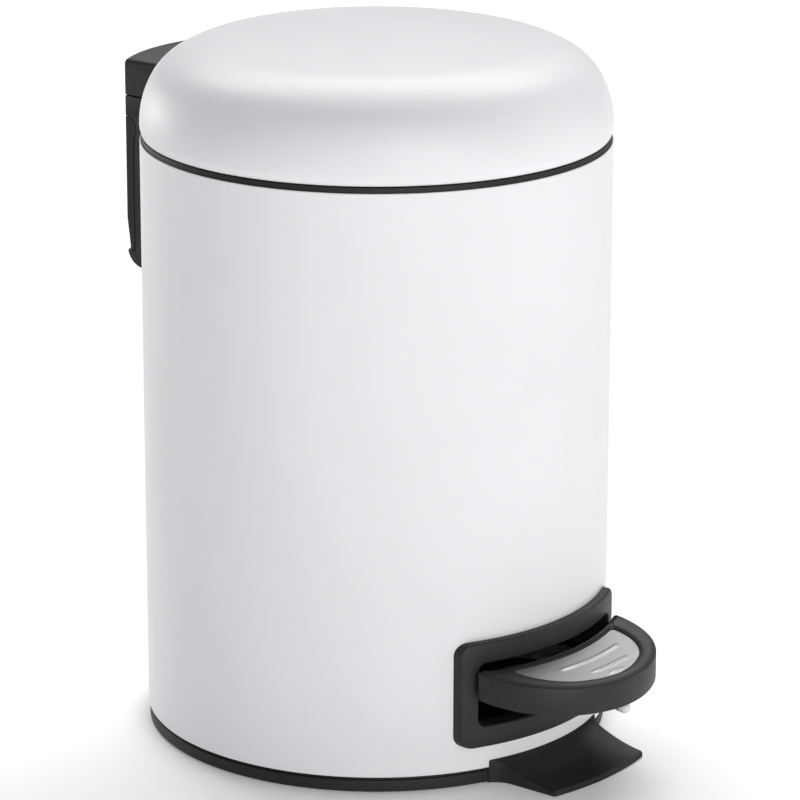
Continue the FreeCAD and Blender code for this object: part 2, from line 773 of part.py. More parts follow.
def lid_hinge_bracket():
    plate = box(-bracket_plate_half_width, bracket_plate_half_width, bracket_back - bracket_plate_length,
                bracket_back, liner_top, liner_top + bracket_plate_thick)
    plate = cut_all(plate, *lid_screw_holes())
    x0, x1 = cheek_gap, cheek_gap + cheek_thick
    start = bracket_back - web_start
    web = side_plate([(start, liner_top + liner_step), (hinge_y, hinge_z - web_low),
                      (hinge_y, hinge_z + web_high), (start, liner_top + web_front_height)], x0, x1)
    crank = side_link((hinge_y, hinge_z), (crank_y, crank_z), crank_width, x0, x1)
    knuckle = cross_pin(hinge_y, hinge_z, knuckle_radius, x0, knuckle_end)
    cheek = cut_all(fuse_all(web, crank, knuckle),
                    cross_pin(hinge_y, hinge_z, pin_radius + pin_play, 0, knuckle_end + 1),
                    cross_pin(crank_y, crank_z, pin_radius + pin_play, 0, knuckle_end + 1))
    return fuse_all(plate, *both_ways(cheek))


def crank_pin():
    return headed_pin(crank_y, crank_z, cheek_gap + cheek_thick)


def lid_hinge_cover():
    low = body_top + cover_bottom
    high = body_top + cover_top
    front = body_radius - cover_reach
    crest = high + cover_slope
    hood = housing_prism(0, housing_half_width, low, crest)
    # the top falls gently to the rear, and its rear and side edges are rounded
    fore, beyond = body_radius / 2, housing_y + 1
    above = side_plate([(fore, crest), (beyond, crest - cover_tilt * (beyond - fore)),
                        (beyond, above_all), (fore, above_all)], -housing_y, housing_y)
    hood = cut_all(hood, above, box(-housing_y, housing_y, 0, front, 0, above_all))
    rim = [e for e in hood.Edges if e.BoundBox.ZMin > high - cover_corner
           and e.BoundBox.YMax > front + cover_corner]
    hood = hood.makeFillet(cover_corner, rim)
    inside = housing_prism(housing_wall, housing_half_width - housing_wall, low - 1, high - housing_wall)
    skirt = housing_prism(0, cover_skirt_half_width, body_top - cover_skirt_drop, low + overlap)
    skirt = skirt.cut(housing_prism(housing_wall, housing_half_width, 0, above_all))
    hood = cut_all(hood.cut(inside).fuse(skirt), lid_solid(-snug),
                   tube(lid_radius + snug, 0, 0, lid_shoulder_z))
    return hood.removeSplitter()


# ---------------------------------------------------------------- hinge on the body
def hinge_screw_places():
    return [(x, body_top - drop) for x in (-hinge_screw_spacing / 2, hinge_screw_spacing / 2)
            for drop in hinge_screw_drops]


def housing_screw_places():
    x = housing_screw_spacing / 2
    return [(-x, body_top - housing_screw_drop), (x, body_top - housing_screw_drop)]


def rear_holes(places):
    """Clearance holes along Y for screws through the back of the shell."""
    return [cylinder((x, body_radius * 0.8, z), (x, body_radius * 1.1, z), screw_radius + pin_play)
            for x, z in places]


def hinge_screw_holes():
    return rear_holes(hinge_screw_places())


def housing_screw_holes():
    return rear_holes(housing_screw_places())


def rear_screws(places, seat_radius, length):
    """Screws along +Y whose heads bear on a round wall of the given inside radius."""
    screws = []
    for x, z in places:
        seat = math.sqrt(seat_radius ** 2 - (abs(x) + screw_head_radius) ** 2)
        screws.append(screw((x, seat, z), (x, seat, z), (x, seat + length, z), (x, seat - screw_head, z)))
    return Part.makeCompound(screws)


def hinge_base():
    bottom = body_top - hinge_plate_drop
    seat = body_radius + snug / 2
    plate = tube(seat + hinge_plate_thick, seat, bottom, body_top - hinge_plate_top_drop)
    plate = plate.common(rear_box(hinge_plate_half_width, 0, above_all)).cut(rear_slot())
    shelf = box(-shelf_half_width, shelf_half_width, body_radius / 2,
                damper_y + damper_radius + shelf_margin, bottom, bottom + shelf_thick)
    x0, x1 = lug_gap, lug_gap + lug_thick
    front = body_radius + lug_arm_gap
    back = front + lug_arm_thick
    top = hinge_z - lug_arm_low
    arm = side_plate([(front, body_top - lug_arm_drop), (back, body_top - lug_arm_drop), (back, top),
                      (hinge_y, top), (hinge_y, hinge_z + lug_arm_high),
                      (front, hinge_z + lug_arm_front_high)], x0, x1)
    arm = arm.fuse(cross_pin(hinge_y, hinge_z, lug_boss_radius, x0, x1))
    arm = arm.cut(cross_pin(hinge_y, hinge_z, pin_radius + pin_play, 0, housing_half_width))
    can = tube(seat, 0, 0, body_top)
    return cut_all(fuse_all(plate, shelf.cut(can), *both_ways(arm.cut(can))), *hinge_screw_holes())


def backing_plate():
    bottom = body_top - hinge_plate_drop + backing_margin
    top = body_top - rim_depth - backing_ring_gap
    plate = tube(backing_outer, backing_outer - backing_thick, bottom, top).common(
        rear_box(hinge_plate_half_width, bottom, top))
    return cut_all(plate, rear_slot(), *hinge_screw_holes())


def hinge_screws():
    return rear_screws(hinge_screw_places(), backing_outer - backing_thick, hinge_screw_length)


def housing_screws():
    return rear_screws(housing_screw_places(), shell_inner, housing_screw_length)


def hinge_pin():
    return headed_pin(hinge_y, hinge_z, lug_gap + lug_thick)


def handle_zone(grow, depth):
    """U-shaped layer in the housing's rear face that the carry handle lies in."""
    low = body_top - handle_drop - grow
    half = housing_half_width + 1
    grip = box(-half, half, housing_centre, cut_reach, low, low + handle_grip_height + 2 * grow)
    leg = box(handle_inner - grow, half, housing_centre, cut_reach, low, handle_z)
    return fuse_all(grip, *both_ways(leg)).cut(
        Part.makeCylinder(housing_radius - depth, above_all, V(0, housing_centre, 0)))


def hinge_housing():
    low = body_top - housing_drop
    block = housing_prism(0, housing_half_width, low, body_top + housing_side_rise)
    bottom_rear = [e for e in block.Edges if e.BoundBox.ZMax < low + 0.01
                   and e.BoundBox.XLength > housing_half_width and e.BoundBox.YMax > body_radius]
    block = block.makeFillet(housing_corner, bottom_rear)
    floor = low + housing_wall
    half = housing_void_half_width
    pocket_top = body_top - pocket_drop
    void_low = housing_prism(pocket_depth + housing_wall, half, floor, above_all)
    void_high = housing_prism(housing_wall, half, pocket_top + housing_wall, above_all)
    leg_void = box(handle_inner - running, housing_half_width - housing_wall, 0,
                   body_radius + leg_void_reach, floor + leg_void_rise, handle_z - leg_void_drop)
    top_room = housing_prism(-housing_wall, housing_half_width - housing_wall,
                             body_top - boss_cap_drop, above_all)
    rear_room = housing_prism(-housing_wall, half, body_top - housing_rear_drop, above_all)
    pocket = behind_housing(pocket_depth, handle_inner - pocket_inset,
                            body_top - handle_drop + handle_grip_height - 1, pocket_top)
    boss_room = cross_pin(handle_y, handle_z, handle_boss_radius + running, handle_inner - running,
                          housing_half_width * 2)
    pin_hole = cross_pin(handle_y, handle_z, handle_pin_radius + pin_play, 0, housing_half_width * 2)
    block = cut_all(block, void_low, void_high, *both_ways(leg_void), top_room, rear_room, pocket,
                    *both_ways(boss_room), *both_ways(pin_hole),
                    handle_zone(running, handle_thick + running))
    screw_z = body_top - housing_screw_drop
    pad = box(pad_start, half + overlap, body_radius / 2, body_radius + pad_reach,
              screw_z - pad_half_height, screw_z + pad_half_height)
    block = fuse_all(block, *both_ways(pad))
    can = fuse_all(tube(body_radius + snug / 2, 0, 0, body_top + 2 * snug),
                   tube(lid_radius + housing_lid_gap, 0, body_top + 2 * snug, above_all))
    return cut_all(block, can, *housing_screw_holes()).removeSplitter()


def carry_handle():
    layer = housing_prism(0, housing_half_width, 0, above_all)
    boss = cross_pin(handle_y, handle_z, handle_boss_radius, handle_inner, housing_half_width)
    handle = fuse_all(handle_zone(0, handle_thick).common(layer), *both_ways(boss.common(layer)))
    # the grip thins towards its lower edge
    low = body_top - handle_drop
    taper = Part.makeCone(housing_radius - handle_thick + handle_grip_edge, housing_radius,
                          handle_grip_height, V(0, housing_centre, low))
    trim = box(-housing_y, housing_y, housing_centre, cut_reach, low, low + handle_grip_height)
    hole = cross_pin(handle_y, handle_z, handle_pin_radius + pin_play, handle_inner - 1,
                     housing_half_width - handle_pin_cover)
    return cut_all(handle, trim.cut(taper), *both_ways(hole))


def handle_pins():
    return pair(cross_pin(handle_y, handle_z, handle_pin_radius, housing_void_half_width + 2 * snug,
                          housing_half_width - handle_pin_cover - snug))


# ---------------------------------------------------------------- damper
def damper_cylinder():
    bottom, top = damper_z, damper_z + damper_length
    body = cylinder((0, damper_y, bottom), (0, damper_y, top), damper_radius)
    bore = cylinder((0, damper_y, bottom + damper_floor), (0, damper_y, top), damper_rod_radius + running)
    return body.cut(bore)


def damper_piston():
    top = body_top - damper_arm_drop + damper_arm_height - snug
    return cylinder((0, damper_y, damper_z + damper_floor + damper_rod_gap), (0, damper_y, top),
                    damper_rod_radius)


# ---------------------------------------------------------------- bucket
def inner_bucket():
    low_radius = bucket_top_radius - bucket_draft
    outer = Part.makeCone(low_radius, bucket_top_radius, flange_top - bucket_bottom, V(0, 0, bucket_bottom))
    inner = Part.makeCone(low_radius - bucket_wall, bucket_top_radius - bucket_wall,
                          flange_top - bucket_bottom - bucket_floor, V(0, 0, bucket_bottom + bucket_floor))
    flange = tube(flange_radius, bucket_top_radius - bucket_wall, flange_top - flange_thick, flange_top)
    notch_half = slot_half_width + bucket_notch_gap
    notch = box(-notch_half, notch_half, bucket_top_radius + 2 * snug, cut_reach, 0, above_all)
    ear = box(ear_out - bail_ear, ear_out, -bail_ear_half_width, bail_ear_half_width,
              flange_top - overlap, bail_z + bail_wire / 2 + bail_ear_wall)
    ear = ear.cut(cross_pin(0, bail_z, bail_wire / 2 + pin_play, 0, body_radius))
    return fuse_all(outer.cut(inner).fuse(flange).cut(notch), *both_ways(ear))


def bail_ring(radius):
    return Part.makeTorus(bail_radius, radius, V(0, 0, bail_z), V(0, 0, 1))


def bucket_bail():
    hoop = bail_ring(bail_wire / 2).common(box(-body_radius, body_radius, -body_radius, 0, 0, above_all))
    end = cross_pin(0, bail_z, bail_wire / 2, ear_out - bail_ear - bail_ear_wall, bail_radius)
    return fuse_all(hoop, *both_ways(end))


def bail_grip():
    part = sector(body_radius, 1, -90, grip_half_angle, 0, above_all)
    return bail_ring(grip_diameter / 2).cut(bail_ring(bail_wire / 2 + pin_play)).common(part)


# ---------------------------------------------------------------- pedal and lever
def lever_path():
    under = lever_drop + lever_thick / 2
    front = -body_radius - lever_reach
    bend = -body_radius + lever_bend_inset
    return [(front, pedal_plane(front) - under), (bend, pedal_plane(bend) - under),
            (pivot_y, pivot_z), (rod_y, lever_pin_z)]


def pedal_lever():
    strip = side_strip(lever_path(), lever_thick, lever_half_width)
    strip = strip.cut(box(-lever_half_width, lever_half_width, rod_y - lever_end_gap, cut_reach, 0, body_top))
    collar = cross_pin(pivot_y, pivot_z, collar_radius, -lever_half_width, lever_half_width)
    ear_rise = (pivot_z - lever_pin_z) * ear_length / (rod_y - pivot_y)
    ear = side_link((rod_y - ear_length, lever_pin_z + ear_rise), (rod_y, lever_pin_z),
                    ear_radius * 2, ear_gap, ear_gap + ear_thick)
    ear = ear.cut(cross_pin(rod_y, lever_pin_z, pin_radius + pin_play, 0, ear_gap + ear_thick + 1))
    lever = fuse_all(strip, collar, *both_ways(ear))
    bush_room = cross_pin(pivot_y, pivot_z, bush_radius + pin_play, -bracket_half_gap, bracket_half_gap)
    return cut_all(lever, bush_room, *pedal_screw_holes())


def lever_bush():
    bush = cross_pin(pivot_y, pivot_z, bush_radius, -bush_half_length, bush_half_length)
    return bush.cut(cross_pin(pivot_y, pivot_z, axle_radius + pin_play, -bush_half_length, bush_half_length))


def axle_tube(outer, inner, x0, x1):
    """Ring about the lever's axis."""
    return cross_pin(pivot_y, pivot_z, outer, x0, x1).cut(cross_pin(pivot_y, pivot_z, inner, x0, x1))


def lever_axle():
    axle = cross_pin(pivot_y, pivot_z, axle_radius, -axle_half_length, axle_half_length)
    start = axle_half_length - axle_groove_start
    groove = axle_tube(axle_radius, axle_radius - axle_groove_depth, start, start + axle_groove_width)
    return cut_all(axle, *both_ways(groove))


def axle_clips():
    start = axle_half_length - axle_groove_start + (axle_groove_width - clip_width) / 2
    clip = axle_tube(axle_radius + clip_rim, axle_radius - axle_groove_depth + pin_play,
                     start, start + clip_width)
    mouth = box(start, start + clip_width, pivot_y - clip_half_gap, pivot_y + clip_half_gap, 0, pivot_z)
    return pair(clip.cut(mouth))


def bracket_screw_places():
    x = bracket_half_gap + bracket_thick + bracket_screw_gap
    y = bracket_screw_spacing / 2
    return [(s * x, pivot_y + d) for s in (-1, 1) for d in (-y, y)]


def lever_brackets():
    half = bracket_length / 2
    x0, x1 = bracket_half_gap, bracket_half_gap + bracket_thick
    upright = side_plate([(pivot_y - half, floor_top), (pivot_y + half, floor_top),
                          (pivot_y + bracket_head_radius, pivot_z), (pivot_y - bracket_head_radius, pivot_z)],
                         x0, x1)
    head = cross_pin(pivot_y, pivot_z, bracket_head_radius, x0, x1)
    foot = box(x0, x1 + bracket_foot_width, pivot_y - half, pivot_y + half,
               floor_top, floor_top + bracket_foot_thick)
    holes = [cylinder((x, y, 0), (x, y, pivot_z), screw_radius + pin_play) for x, y in bracket_screw_places()]
    axle_hole = cross_pin(pivot_y, pivot_z, axle_radius + pin_play, 0, axle_half_length)
    return pair(cut_all(fuse_all(upright, head, foot), axle_hole, *holes))


def bracket_screws():
    top = floor_top + bracket_foot_thick
    return Part.makeCompound([
        screw((x, y, top), (x, y, top), (x, y, floor_under + 2 * snug), (x, y, top + screw_head))
        for x, y in bracket_screw_places()])


def lever_end_pin():
    return headed_pin(rod_y, lever_pin_z, ear_gap + ear_thick)


def pedal_screw_places():
    x = pedal_screw_spacing / 2
    return [(-x, -body_radius - pedal_screw_reach), (x, -body_radius - pedal_screw_reach)]


def pedal_screw_holes():
    return [cylinder((x, y, pedal_plane(y) - pedal_depth), (x, y, pedal_plane(y) - tread_thick),
                     screw_radius + pin_play) for x, y in pedal_screw_places()]


def pedal_screws():
    screws = []
    for x, y in pedal_screw_places():
        face = pedal_plane(y)
        tilt_drop = pedal_tilt * screw_head_radius + fit_gap
        seat = face - lever_drop - lever_thick - tilt_drop - pin_play
        screws.append(screw((x, y, seat), (x, y, seat), (x, y, face - tread_thick - overlap),
                            (x, y, seat - screw_head)))
    return Part.makeCompound(screws)


def tread_zone(inset, down_0, down_1):
    """Space of the tread plate: the pedal's plan drawn in, cut by its own sides and back."""
    zone = pedal_slab(tread_inset + inset, down_0, down_1)
    half = tread_half_width - inset
    back = surround_face + pedal_back_gap + tread_back_gap + inset
    sides = box(-half, half, -cut_reach * 2, 0, 0, above_all)
    return zone.common(sides).cut(tube(back, 0, 0, above_all))


def pedal_frame():
    frame = pedal_slab(0, 0, pedal_depth)
    top_edges = [e for e in frame.Edges if all(
        abs(v.Point.z - pedal_plane(v.Point.y)) < 0.01 for v in e.Vertexes)]
    frame = frame.makeChamfer(pedal_chamfer, top_edges)
    frame = frame.cut(pedal_slab(pedal_wall, pedal_top_thick, pedal_depth + 1))
    frame = frame.cut(tread_zone(0, -1, tread_thick))
    half = lever_half_width + running + snug
    back = pedal_plane(-body_radius)
    lever_room = box(-half, half, -body_radius - pedal_screw_reach, 0, back - pedal_depth - 1,
                     back - pedal_top_thick - pedal_tilt * pedal_screw_reach / 2)
    rib = box(pedal_pin_x - pin_rib_half_width, pedal_pin_x + pin_rib_half_width,
              -pedal_tip + pedal_pin_end + 2 * snug, -pedal_tip + pin_rib_end,
              pedal_pin_z + pedal_pin_radius - overlap, pedal_height)
    rib = rib.common(pedal_slab(0, pedal_top_thick - overlap, pedal_depth * 1.5))
    pin_room = cylinder((pedal_pin_x, -pedal_tip + pedal_pin_start + 1, pedal_pin_z),
                        (pedal_pin_x, -pedal_tip - 1, pedal_pin_z), pedal_pin_radius + pin_play)
    strip_room = side_strip(lever_path(), lever_thick + snug, lever_half_width + running)
    return cut_all(fuse_all(frame.cut(lever_room), rib), pin_room, strip_room, *pedal_screw_holes())


def tread_plate():
    return tread_zone(tread_play, 0, tread_thick - fit_gap)


def pedal_pin():
    return cylinder((pedal_pin_x, -pedal_tip + pedal_pin_start, pedal_pin_z),
                    (pedal_pin_x, -pedal_tip + pedal_pin_end, pedal_pin_z), pedal_pin_radius)


def pedal_pin_cap():
    end = -pedal_tip + pedal_pin_end
    dome_y = end - pedal_cap_length
    collar = cylinder((pedal_pin_x, end, pedal_pin_z), (pedal_pin_x, dome_y, pedal_pin_z), pedal_cap_radius)
    ball = Part.makeSphere(pedal_cap_radius, V(pedal_pin_x, dome_y, pedal_pin_z))
    return fuse_all(collar, ball.cut(box(-cut_reach, cut_reach, dome_y, 0, 0, above_all)))


# ---------------------------------------------------------------- push rod
def push_rod():
    return cylinder((0, rod_y, lever_pin_z + yoke_bore + yoke_wall),
                    (0, rod_y, crank_z - yoke_bore - yoke_wall), rod_radius)


def yoke(y0, y1, z0, z1, front, back, low, high):
    """Block round a slot for a pin, with the given wall on each side of the slot."""
    block = box(-yoke_half_width, yoke_half_width, y0 - front, y1 + back, z0 - low, z1 + high)
    return block.cut(box(-yoke_half_width, yoke_half_width, y0, y1, z0, z1))


def rod_foot():
    return yoke(rod_y - yoke_bore, rod_y + lever_swing + yoke_bore,
                lever_pin_z - yoke_bore, lever_pin_z + yoke_bore,
                foot_yoke_front, foot_yoke_back, foot_yoke_wall, yoke_wall)


def rod_head():
    return yoke(rod_head_front + yoke_wall, crank_y + yoke_bore, crank_z - yoke_bore, crank_z + yoke_bore,
                yoke_wall, yoke_wall, yoke_wall, yoke_wall)


def upright_hole(y, radius):
    return cylinder((0, y, 0), (0, y, above_all), radius)


def damper_arm():
    low = body_top - damper_arm_drop
    arm = box(-yoke_half_width, yoke_half_width, rod_y - rod_radius - damper_arm_wall,
              damper_y + damper_rod_radius + damper_arm_wall, low, low + damper_arm_height)
    return cut_all(arm, upright_hole(rod_y, rod_radius + pin_play),
                   upright_hole(damper_y, damper_rod_radius + pin_play))


def rod_guide():
    middle = (body_top + bucket_bottom) / 2
    low, high = middle - guide_half_height, middle + guide_half_height
    block = box(-guide_half_width, guide_half_width, rod_y - rod_radius - guide_wall, body_radius, low, high)
    block = block.common(tube(backing_outer, 0, low, high))
    return block.cut(upright_hole(rod_y, rod_radius + running))


# ---------------------------------------------------------------- all pieces
pieces = {
    "outer_shell": outer_shell,
    "top_rim_ring": top_rim_ring,
    "base_pan": base_pan,
    "anti_slip_ring": anti_slip_ring,
    "front_foot": front_foot,
    "base_screws": base_screws,
    "pedal_surround": pedal_surround,
    "lever_brackets": lever_brackets,
    "lever_axle": lever_axle,
    "axle_clips": axle_clips,
    "bracket_screws": bracket_screws,
    "hinge_base": hinge_base,
    "backing_plate": backing_plate,
    "hinge_screws": hinge_screws,
    "housing_screws": housing_screws,
    "hinge_housing": hinge_housing,
    "hinge_pin": hinge_pin,
    "handle_pins": handle_pins,
    "damper_cylinder": damper_cylinder,
    "rod_guide": rod_guide,
    "inner_bucket": inner_bucket,
    "bucket_bail": bucket_bail,
    "bail_grip": bail_grip,
    "pedal_frame": pedal_frame,
    "tread_plate": tread_plate,
    "pedal_lever": pedal_lever,
    "lever_bush": lever_bush,
    "lever_end_pin": lever_end_pin,
    "pedal_screws": pedal_screws,
    "pedal_pin": pedal_pin,
    "pedal_pin_cap": pedal_pin_cap,
    "push_rod": push_rod,
    "rod_foot": rod_foot,
    "rod_head": rod_head,
    "damper_arm": damper_arm,
    "damper_piston": damper_piston,
    "lid_shell": lid_shell,
    "lid_liner": lid_liner,
    "lid_hinge_cover": lid_hinge_cover,
    "lid_hinge_bracket": lid_hinge_bracket,
    "crank_pin": crank_pin,
    "lid_screws": lid_screws,
    "lid_bumpers": lid_bumpers,
    "carry_handle": carry_handle,
}
for name, make in pieces.items():
    save(name, make())
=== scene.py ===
# %% [markdown]
# # A small steel pedal can
# The real can is a rolled steel tube with a pressed steel lid, both powder coated white, and
# black moulded pieces for everything that is touched or trodden on.  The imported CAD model
# already holds every piece in its place, in metres.  This notebook makes the surfaces that are
# seen as smooth numpy surfaces, gives every piece a node material, and lights the can like a
# product on a pale table.

# %% The frame
import json
import math

import bmesh
import bpy
import numpy as np
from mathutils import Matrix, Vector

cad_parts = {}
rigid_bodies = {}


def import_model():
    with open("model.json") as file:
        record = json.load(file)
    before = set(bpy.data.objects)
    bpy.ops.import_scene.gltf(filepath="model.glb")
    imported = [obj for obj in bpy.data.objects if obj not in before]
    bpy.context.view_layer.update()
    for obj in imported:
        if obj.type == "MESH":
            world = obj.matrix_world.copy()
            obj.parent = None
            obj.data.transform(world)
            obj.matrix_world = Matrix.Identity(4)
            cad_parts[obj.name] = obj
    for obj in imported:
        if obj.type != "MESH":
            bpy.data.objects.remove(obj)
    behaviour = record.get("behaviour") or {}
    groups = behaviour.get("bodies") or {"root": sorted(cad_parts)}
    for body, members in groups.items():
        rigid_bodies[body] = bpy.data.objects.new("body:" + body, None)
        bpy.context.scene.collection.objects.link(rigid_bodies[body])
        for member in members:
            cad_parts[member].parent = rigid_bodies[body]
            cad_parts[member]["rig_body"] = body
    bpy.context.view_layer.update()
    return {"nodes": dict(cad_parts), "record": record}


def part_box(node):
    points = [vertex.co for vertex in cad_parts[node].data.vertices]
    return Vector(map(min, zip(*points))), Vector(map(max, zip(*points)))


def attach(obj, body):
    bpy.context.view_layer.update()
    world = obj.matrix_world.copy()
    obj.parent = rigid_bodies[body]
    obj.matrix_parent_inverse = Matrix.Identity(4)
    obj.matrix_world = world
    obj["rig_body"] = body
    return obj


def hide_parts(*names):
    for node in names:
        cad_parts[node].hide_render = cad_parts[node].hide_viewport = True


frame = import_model()
scene = bpy.context.scene

# %% [markdown]
# All lengths below are metres.  The big ones are read from the CAD nodes, so that a surface
# made here lies where its CAD piece lies.  `MM` turns the small ones, given in millimetres, into
# metres.

# %% Sizes shared by several pieces
MM = 0.001
shell_low, shell_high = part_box("outer_shell")
lid_low, lid_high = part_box("lid_shell")
pedal_low, pedal_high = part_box("pedal_frame")
surround_low, surround_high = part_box("pedal_surround")
foot_low, foot_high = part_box("front_foot")
body_radius = shell_high.x
lid_radius = lid_high.x
shell_wall = 0.6 * MM
print("body radius", round(body_radius, 4), "height", round(lid_high.z, 4))


# %% [markdown]
# A surface is an array of points laid out as a grid: `points[i, j]` is row i, column j.
# Neighbouring points become four-sided faces, and a grid can be closed along either
# direction, as a ring is.  One helper turns any such grid into a mesh.

# %% From a grid of points to a mesh
def grid_faces(rows, columns, close_rows=False, close_columns=False, start=0):
    """Corner numbers of the quads between neighbouring grid points."""
    i = np.arange(rows if close_rows else rows - 1)
    j = np.arange(columns if close_columns else columns - 1)
    i, j = np.meshgrid(i, j, indexing="ij")
    k, m = (i + 1) % rows, (j + 1) % columns
    quads = np.stack([i * columns + j, i * columns + m, k * columns + m, k * columns + j], -1)
    return quads.reshape(-1, 4) + start


def mesh_object(name, vertices, faces, smooth_angle=35):
    """A new object from corner points and faces, with faces turned outwards and sharp edges kept."""
    mesh = bpy.data.meshes.new(name)
    mesh.from_pydata(np.asarray(vertices).tolist(), [], faces)
    bm = bmesh.new()
    bm.from_mesh(mesh)
    bmesh.ops.remove_doubles(bm, verts=bm.verts, dist=1e-6)
    bmesh.ops.recalc_face_normals(bm, faces=bm.faces)
    bm.to_mesh(mesh)
    bm.free()
    mesh.shade_smooth()
    mesh.set_sharp_from_angle(angle=math.radians(smooth_angle))
    piece = bpy.data.objects.new(name, mesh)
    scene.collection.objects.link(piece)
    return piece


def surface(name, points, close_rows=False, close_columns=False, cap_rows=False, keep=None,
            smooth_angle=35):
    """A grid surface as an object.  cap_rows closes the first and last row with a flat face."""
    rows, columns = points.shape[:2]
    quads = grid_faces(rows, columns, close_rows, close_columns)
    vertices = points.reshape(-1, 3)
    if keep is not None:
        quads = quads[keep(vertices[quads].mean(1))]
    faces = quads.tolist()
    if cap_rows:
        faces.append(list(range(columns)))
        faces.append(list(range((rows - 1) * columns, rows * columns)))
    return mesh_object(name, vertices, faces, smooth_angle)


def join(name, pieces):
    """Several objects as one, which stays at the origin."""
    bm = bmesh.new()
    for piece in pieces:
        bm.from_mesh(piece.data)
        bpy.data.objects.remove(piece)
    mesh = bpy.data.meshes.new(name)
    bm.to_mesh(mesh)
    bm.free()
    joined = bpy.data.objects.new(name, mesh)
    scene.collection.objects.link(joined)
    return joined


# %% [markdown]
# Most of the can is turned: a profile of (radius, height) points is carried round the axis.
# An angle of -90 degrees points at the pedal.  `lathe` does that carrying; `arc_points` gives
# the round parts of a profile, so a profile stays a short list of shapes.

# %% Turned surfaces
def arc_points(centre, radius, start, end, count=9):
    """Points on an arc, angles in degrees, as (a, b) pairs: centre + radius * (cos, sin)."""
    angle = np.radians(np.linspace(start, end, count))
    return np.stack([centre[0] + radius * np.cos(angle), centre[1] + radius * np.sin(angle)], -1)


def profile(*stretches):
    """One array of (radius, height) points from single points and arcs."""
    return np.concatenate([np.atleast_2d(np.asarray(s, float)) for s in stretches])


def rounded(points, radius, count=4):
    """A closed outline with each corner cut by a small curve: a quadratic Bezier from a point
    on the side before, over the corner, to a point on the side after."""
    corner = np.asarray(points, float)
    ends = []
    for neighbour in (np.roll(corner, 1, 0), np.roll(corner, -1, 0)):
        side = neighbour - corner
        length = np.linalg.norm(side, axis=1, keepdims=True)
        ends.append(corner + side / length * np.minimum(radius, 0.45 * length))
    t = np.linspace(0, 1, count)[:, None, None]
    curve = (1 - t) ** 2 * ends[0] + 2 * t * (1 - t) * corner + t ** 2 * ends[1]
    return curve.transpose(1, 0, 2).reshape(-1, 2)


def lathe(outline, angles):
    """Grid of points: row = angle in degrees, column = profile point; x = r cos, y = r sin."""
    angle = np.radians(np.asarray(angles, float))[:, None]
    r, z = outline[:, 0][None], outline[:, 1][None]
    return np.stack([r * np.cos(angle), r * np.sin(angle), z + 0 * angle], -1)


turn_step = 1.25  # degrees between two columns of a turned surface
full_turn = np.arange(-180, 180, turn_step)


# %% [markdown]
# ## Materials
# Shader maths reads best as maths.  `Value` wraps a socket and overloads the operators, so
# `rough + 0.1 * speckle` adds the Math nodes by itself.  `Finish.node` makes any other node.

# %% A small language for node materials
class Value:
    """A number that varies over the surface: a socket in a material's node tree."""

    def __init__(self, finish, socket):
        self.finish = finish
        self.socket = socket

    def _math(self, operation, *inputs):
        return self.finish.node("ShaderNodeMath", {"operation": operation}, *inputs)

    def __add__(self, other):
        return self._math("ADD", self, other)

    def __sub__(self, other):
        return self._math("SUBTRACT", self, other)

    def __mul__(self, other):
        return self._math("MULTIPLY", self, other)

    def __rsub__(self, other):
        return self._math("SUBTRACT", other, self)

    __radd__ = __add__
    __rmul__ = __mul__

    def between(self, low, high):
        """0 below low, 1 above high, smooth in between."""
        settings = {"interpolation_type": "SMOOTHSTEP"}
        return self.finish.node("ShaderNodeMapRange", settings, self, low, high, 0.0, 1.0)


class Finish:
    """A material under construction, with its Principled shader ready."""

    mix_a, mix_b, mix_result = 6, 7, 2  # a Mix node's colour sockets, which share names with others

    def __init__(self, name, **constants):
        self.material = bpy.data.materials.new(name)
        self.material.use_nodes = True
        self.tree = self.material.node_tree
        self.shader = next(n for n in self.tree.nodes if n.type == "BSDF_PRINCIPLED")
        self.place = self.node("ShaderNodeTexCoord", {}, output="Object")
        for socket, value in constants.items():
            self.set(socket.replace("_", " "), value)

    def node(self, kind, settings, *inputs, output=0, **named):
        """Adds a node: its settings first, then the values or links of its sockets."""
        node = self.tree.nodes.new(kind)
        for key, value in settings.items():
            setattr(node, key, value)
        for key, value in [*enumerate(inputs), *named.items()]:
            socket = node.inputs[key.replace("_", " ") if isinstance(key, str) else key]
            if isinstance(value, Value):
                self.tree.links.new(value.socket, socket)
            else:
                socket.default_value = value
        return Value(self, node.outputs[output])

    def set(self, socket, value):
        """Sets one of the shader's sockets to a constant or to something that varies."""
        target = self.shader.inputs[socket]
        if isinstance(value, Value):
            self.tree.links.new(value.socket, target)
        else:
            target.default_value = value

    def noise(self, scale, detail=2.0, roughness=0.5, stretch=(1, 1, 1)):
        """Noise in object space; stretch scales the pattern along X, Y and Z."""
        where = self.place
        if stretch != (1, 1, 1):
            where = self.node("ShaderNodeMapping", {}, Vector=where, Scale=stretch)
        return self.node("ShaderNodeTexNoise", {}, Vector=where, Scale=scale, Detail=detail,
                         Roughness=roughness)

    def blend(self, amount, low, high):
        """Colour that goes from low to high as amount goes from 0 to 1."""
        node = self.tree.nodes.new("ShaderNodeMix")
        node.data_type = "RGBA"
        self.tree.links.new(amount.socket, node.inputs["Factor"])
        node.inputs[self.mix_a].default_value = (*low, 1)
        node.inputs[self.mix_b].default_value = (*high, 1)
        return Value(self, node.outputs[self.mix_result])

    def height(self, *ways):
        """Tilts the surface by one or more (height, strength, distance) bumps, each on the last."""
        normal = None
        for value, strength, distance in ways:
            named = {"Height": value, "Strength": strength, "Distance": distance}
            if normal is not None:
                named["Normal"] = normal
            normal = self.node("ShaderNodeBump", {}, **named)
        self.set("Normal", normal)


# %% [markdown]
# **White powder coat** is a baked powder: a matte white skin with a very fine orange-peel
# texture, half a millimetre from crest to crest.  Two noises make the bump, and a broad,
# weak one keeps the roughness from being the same all over.

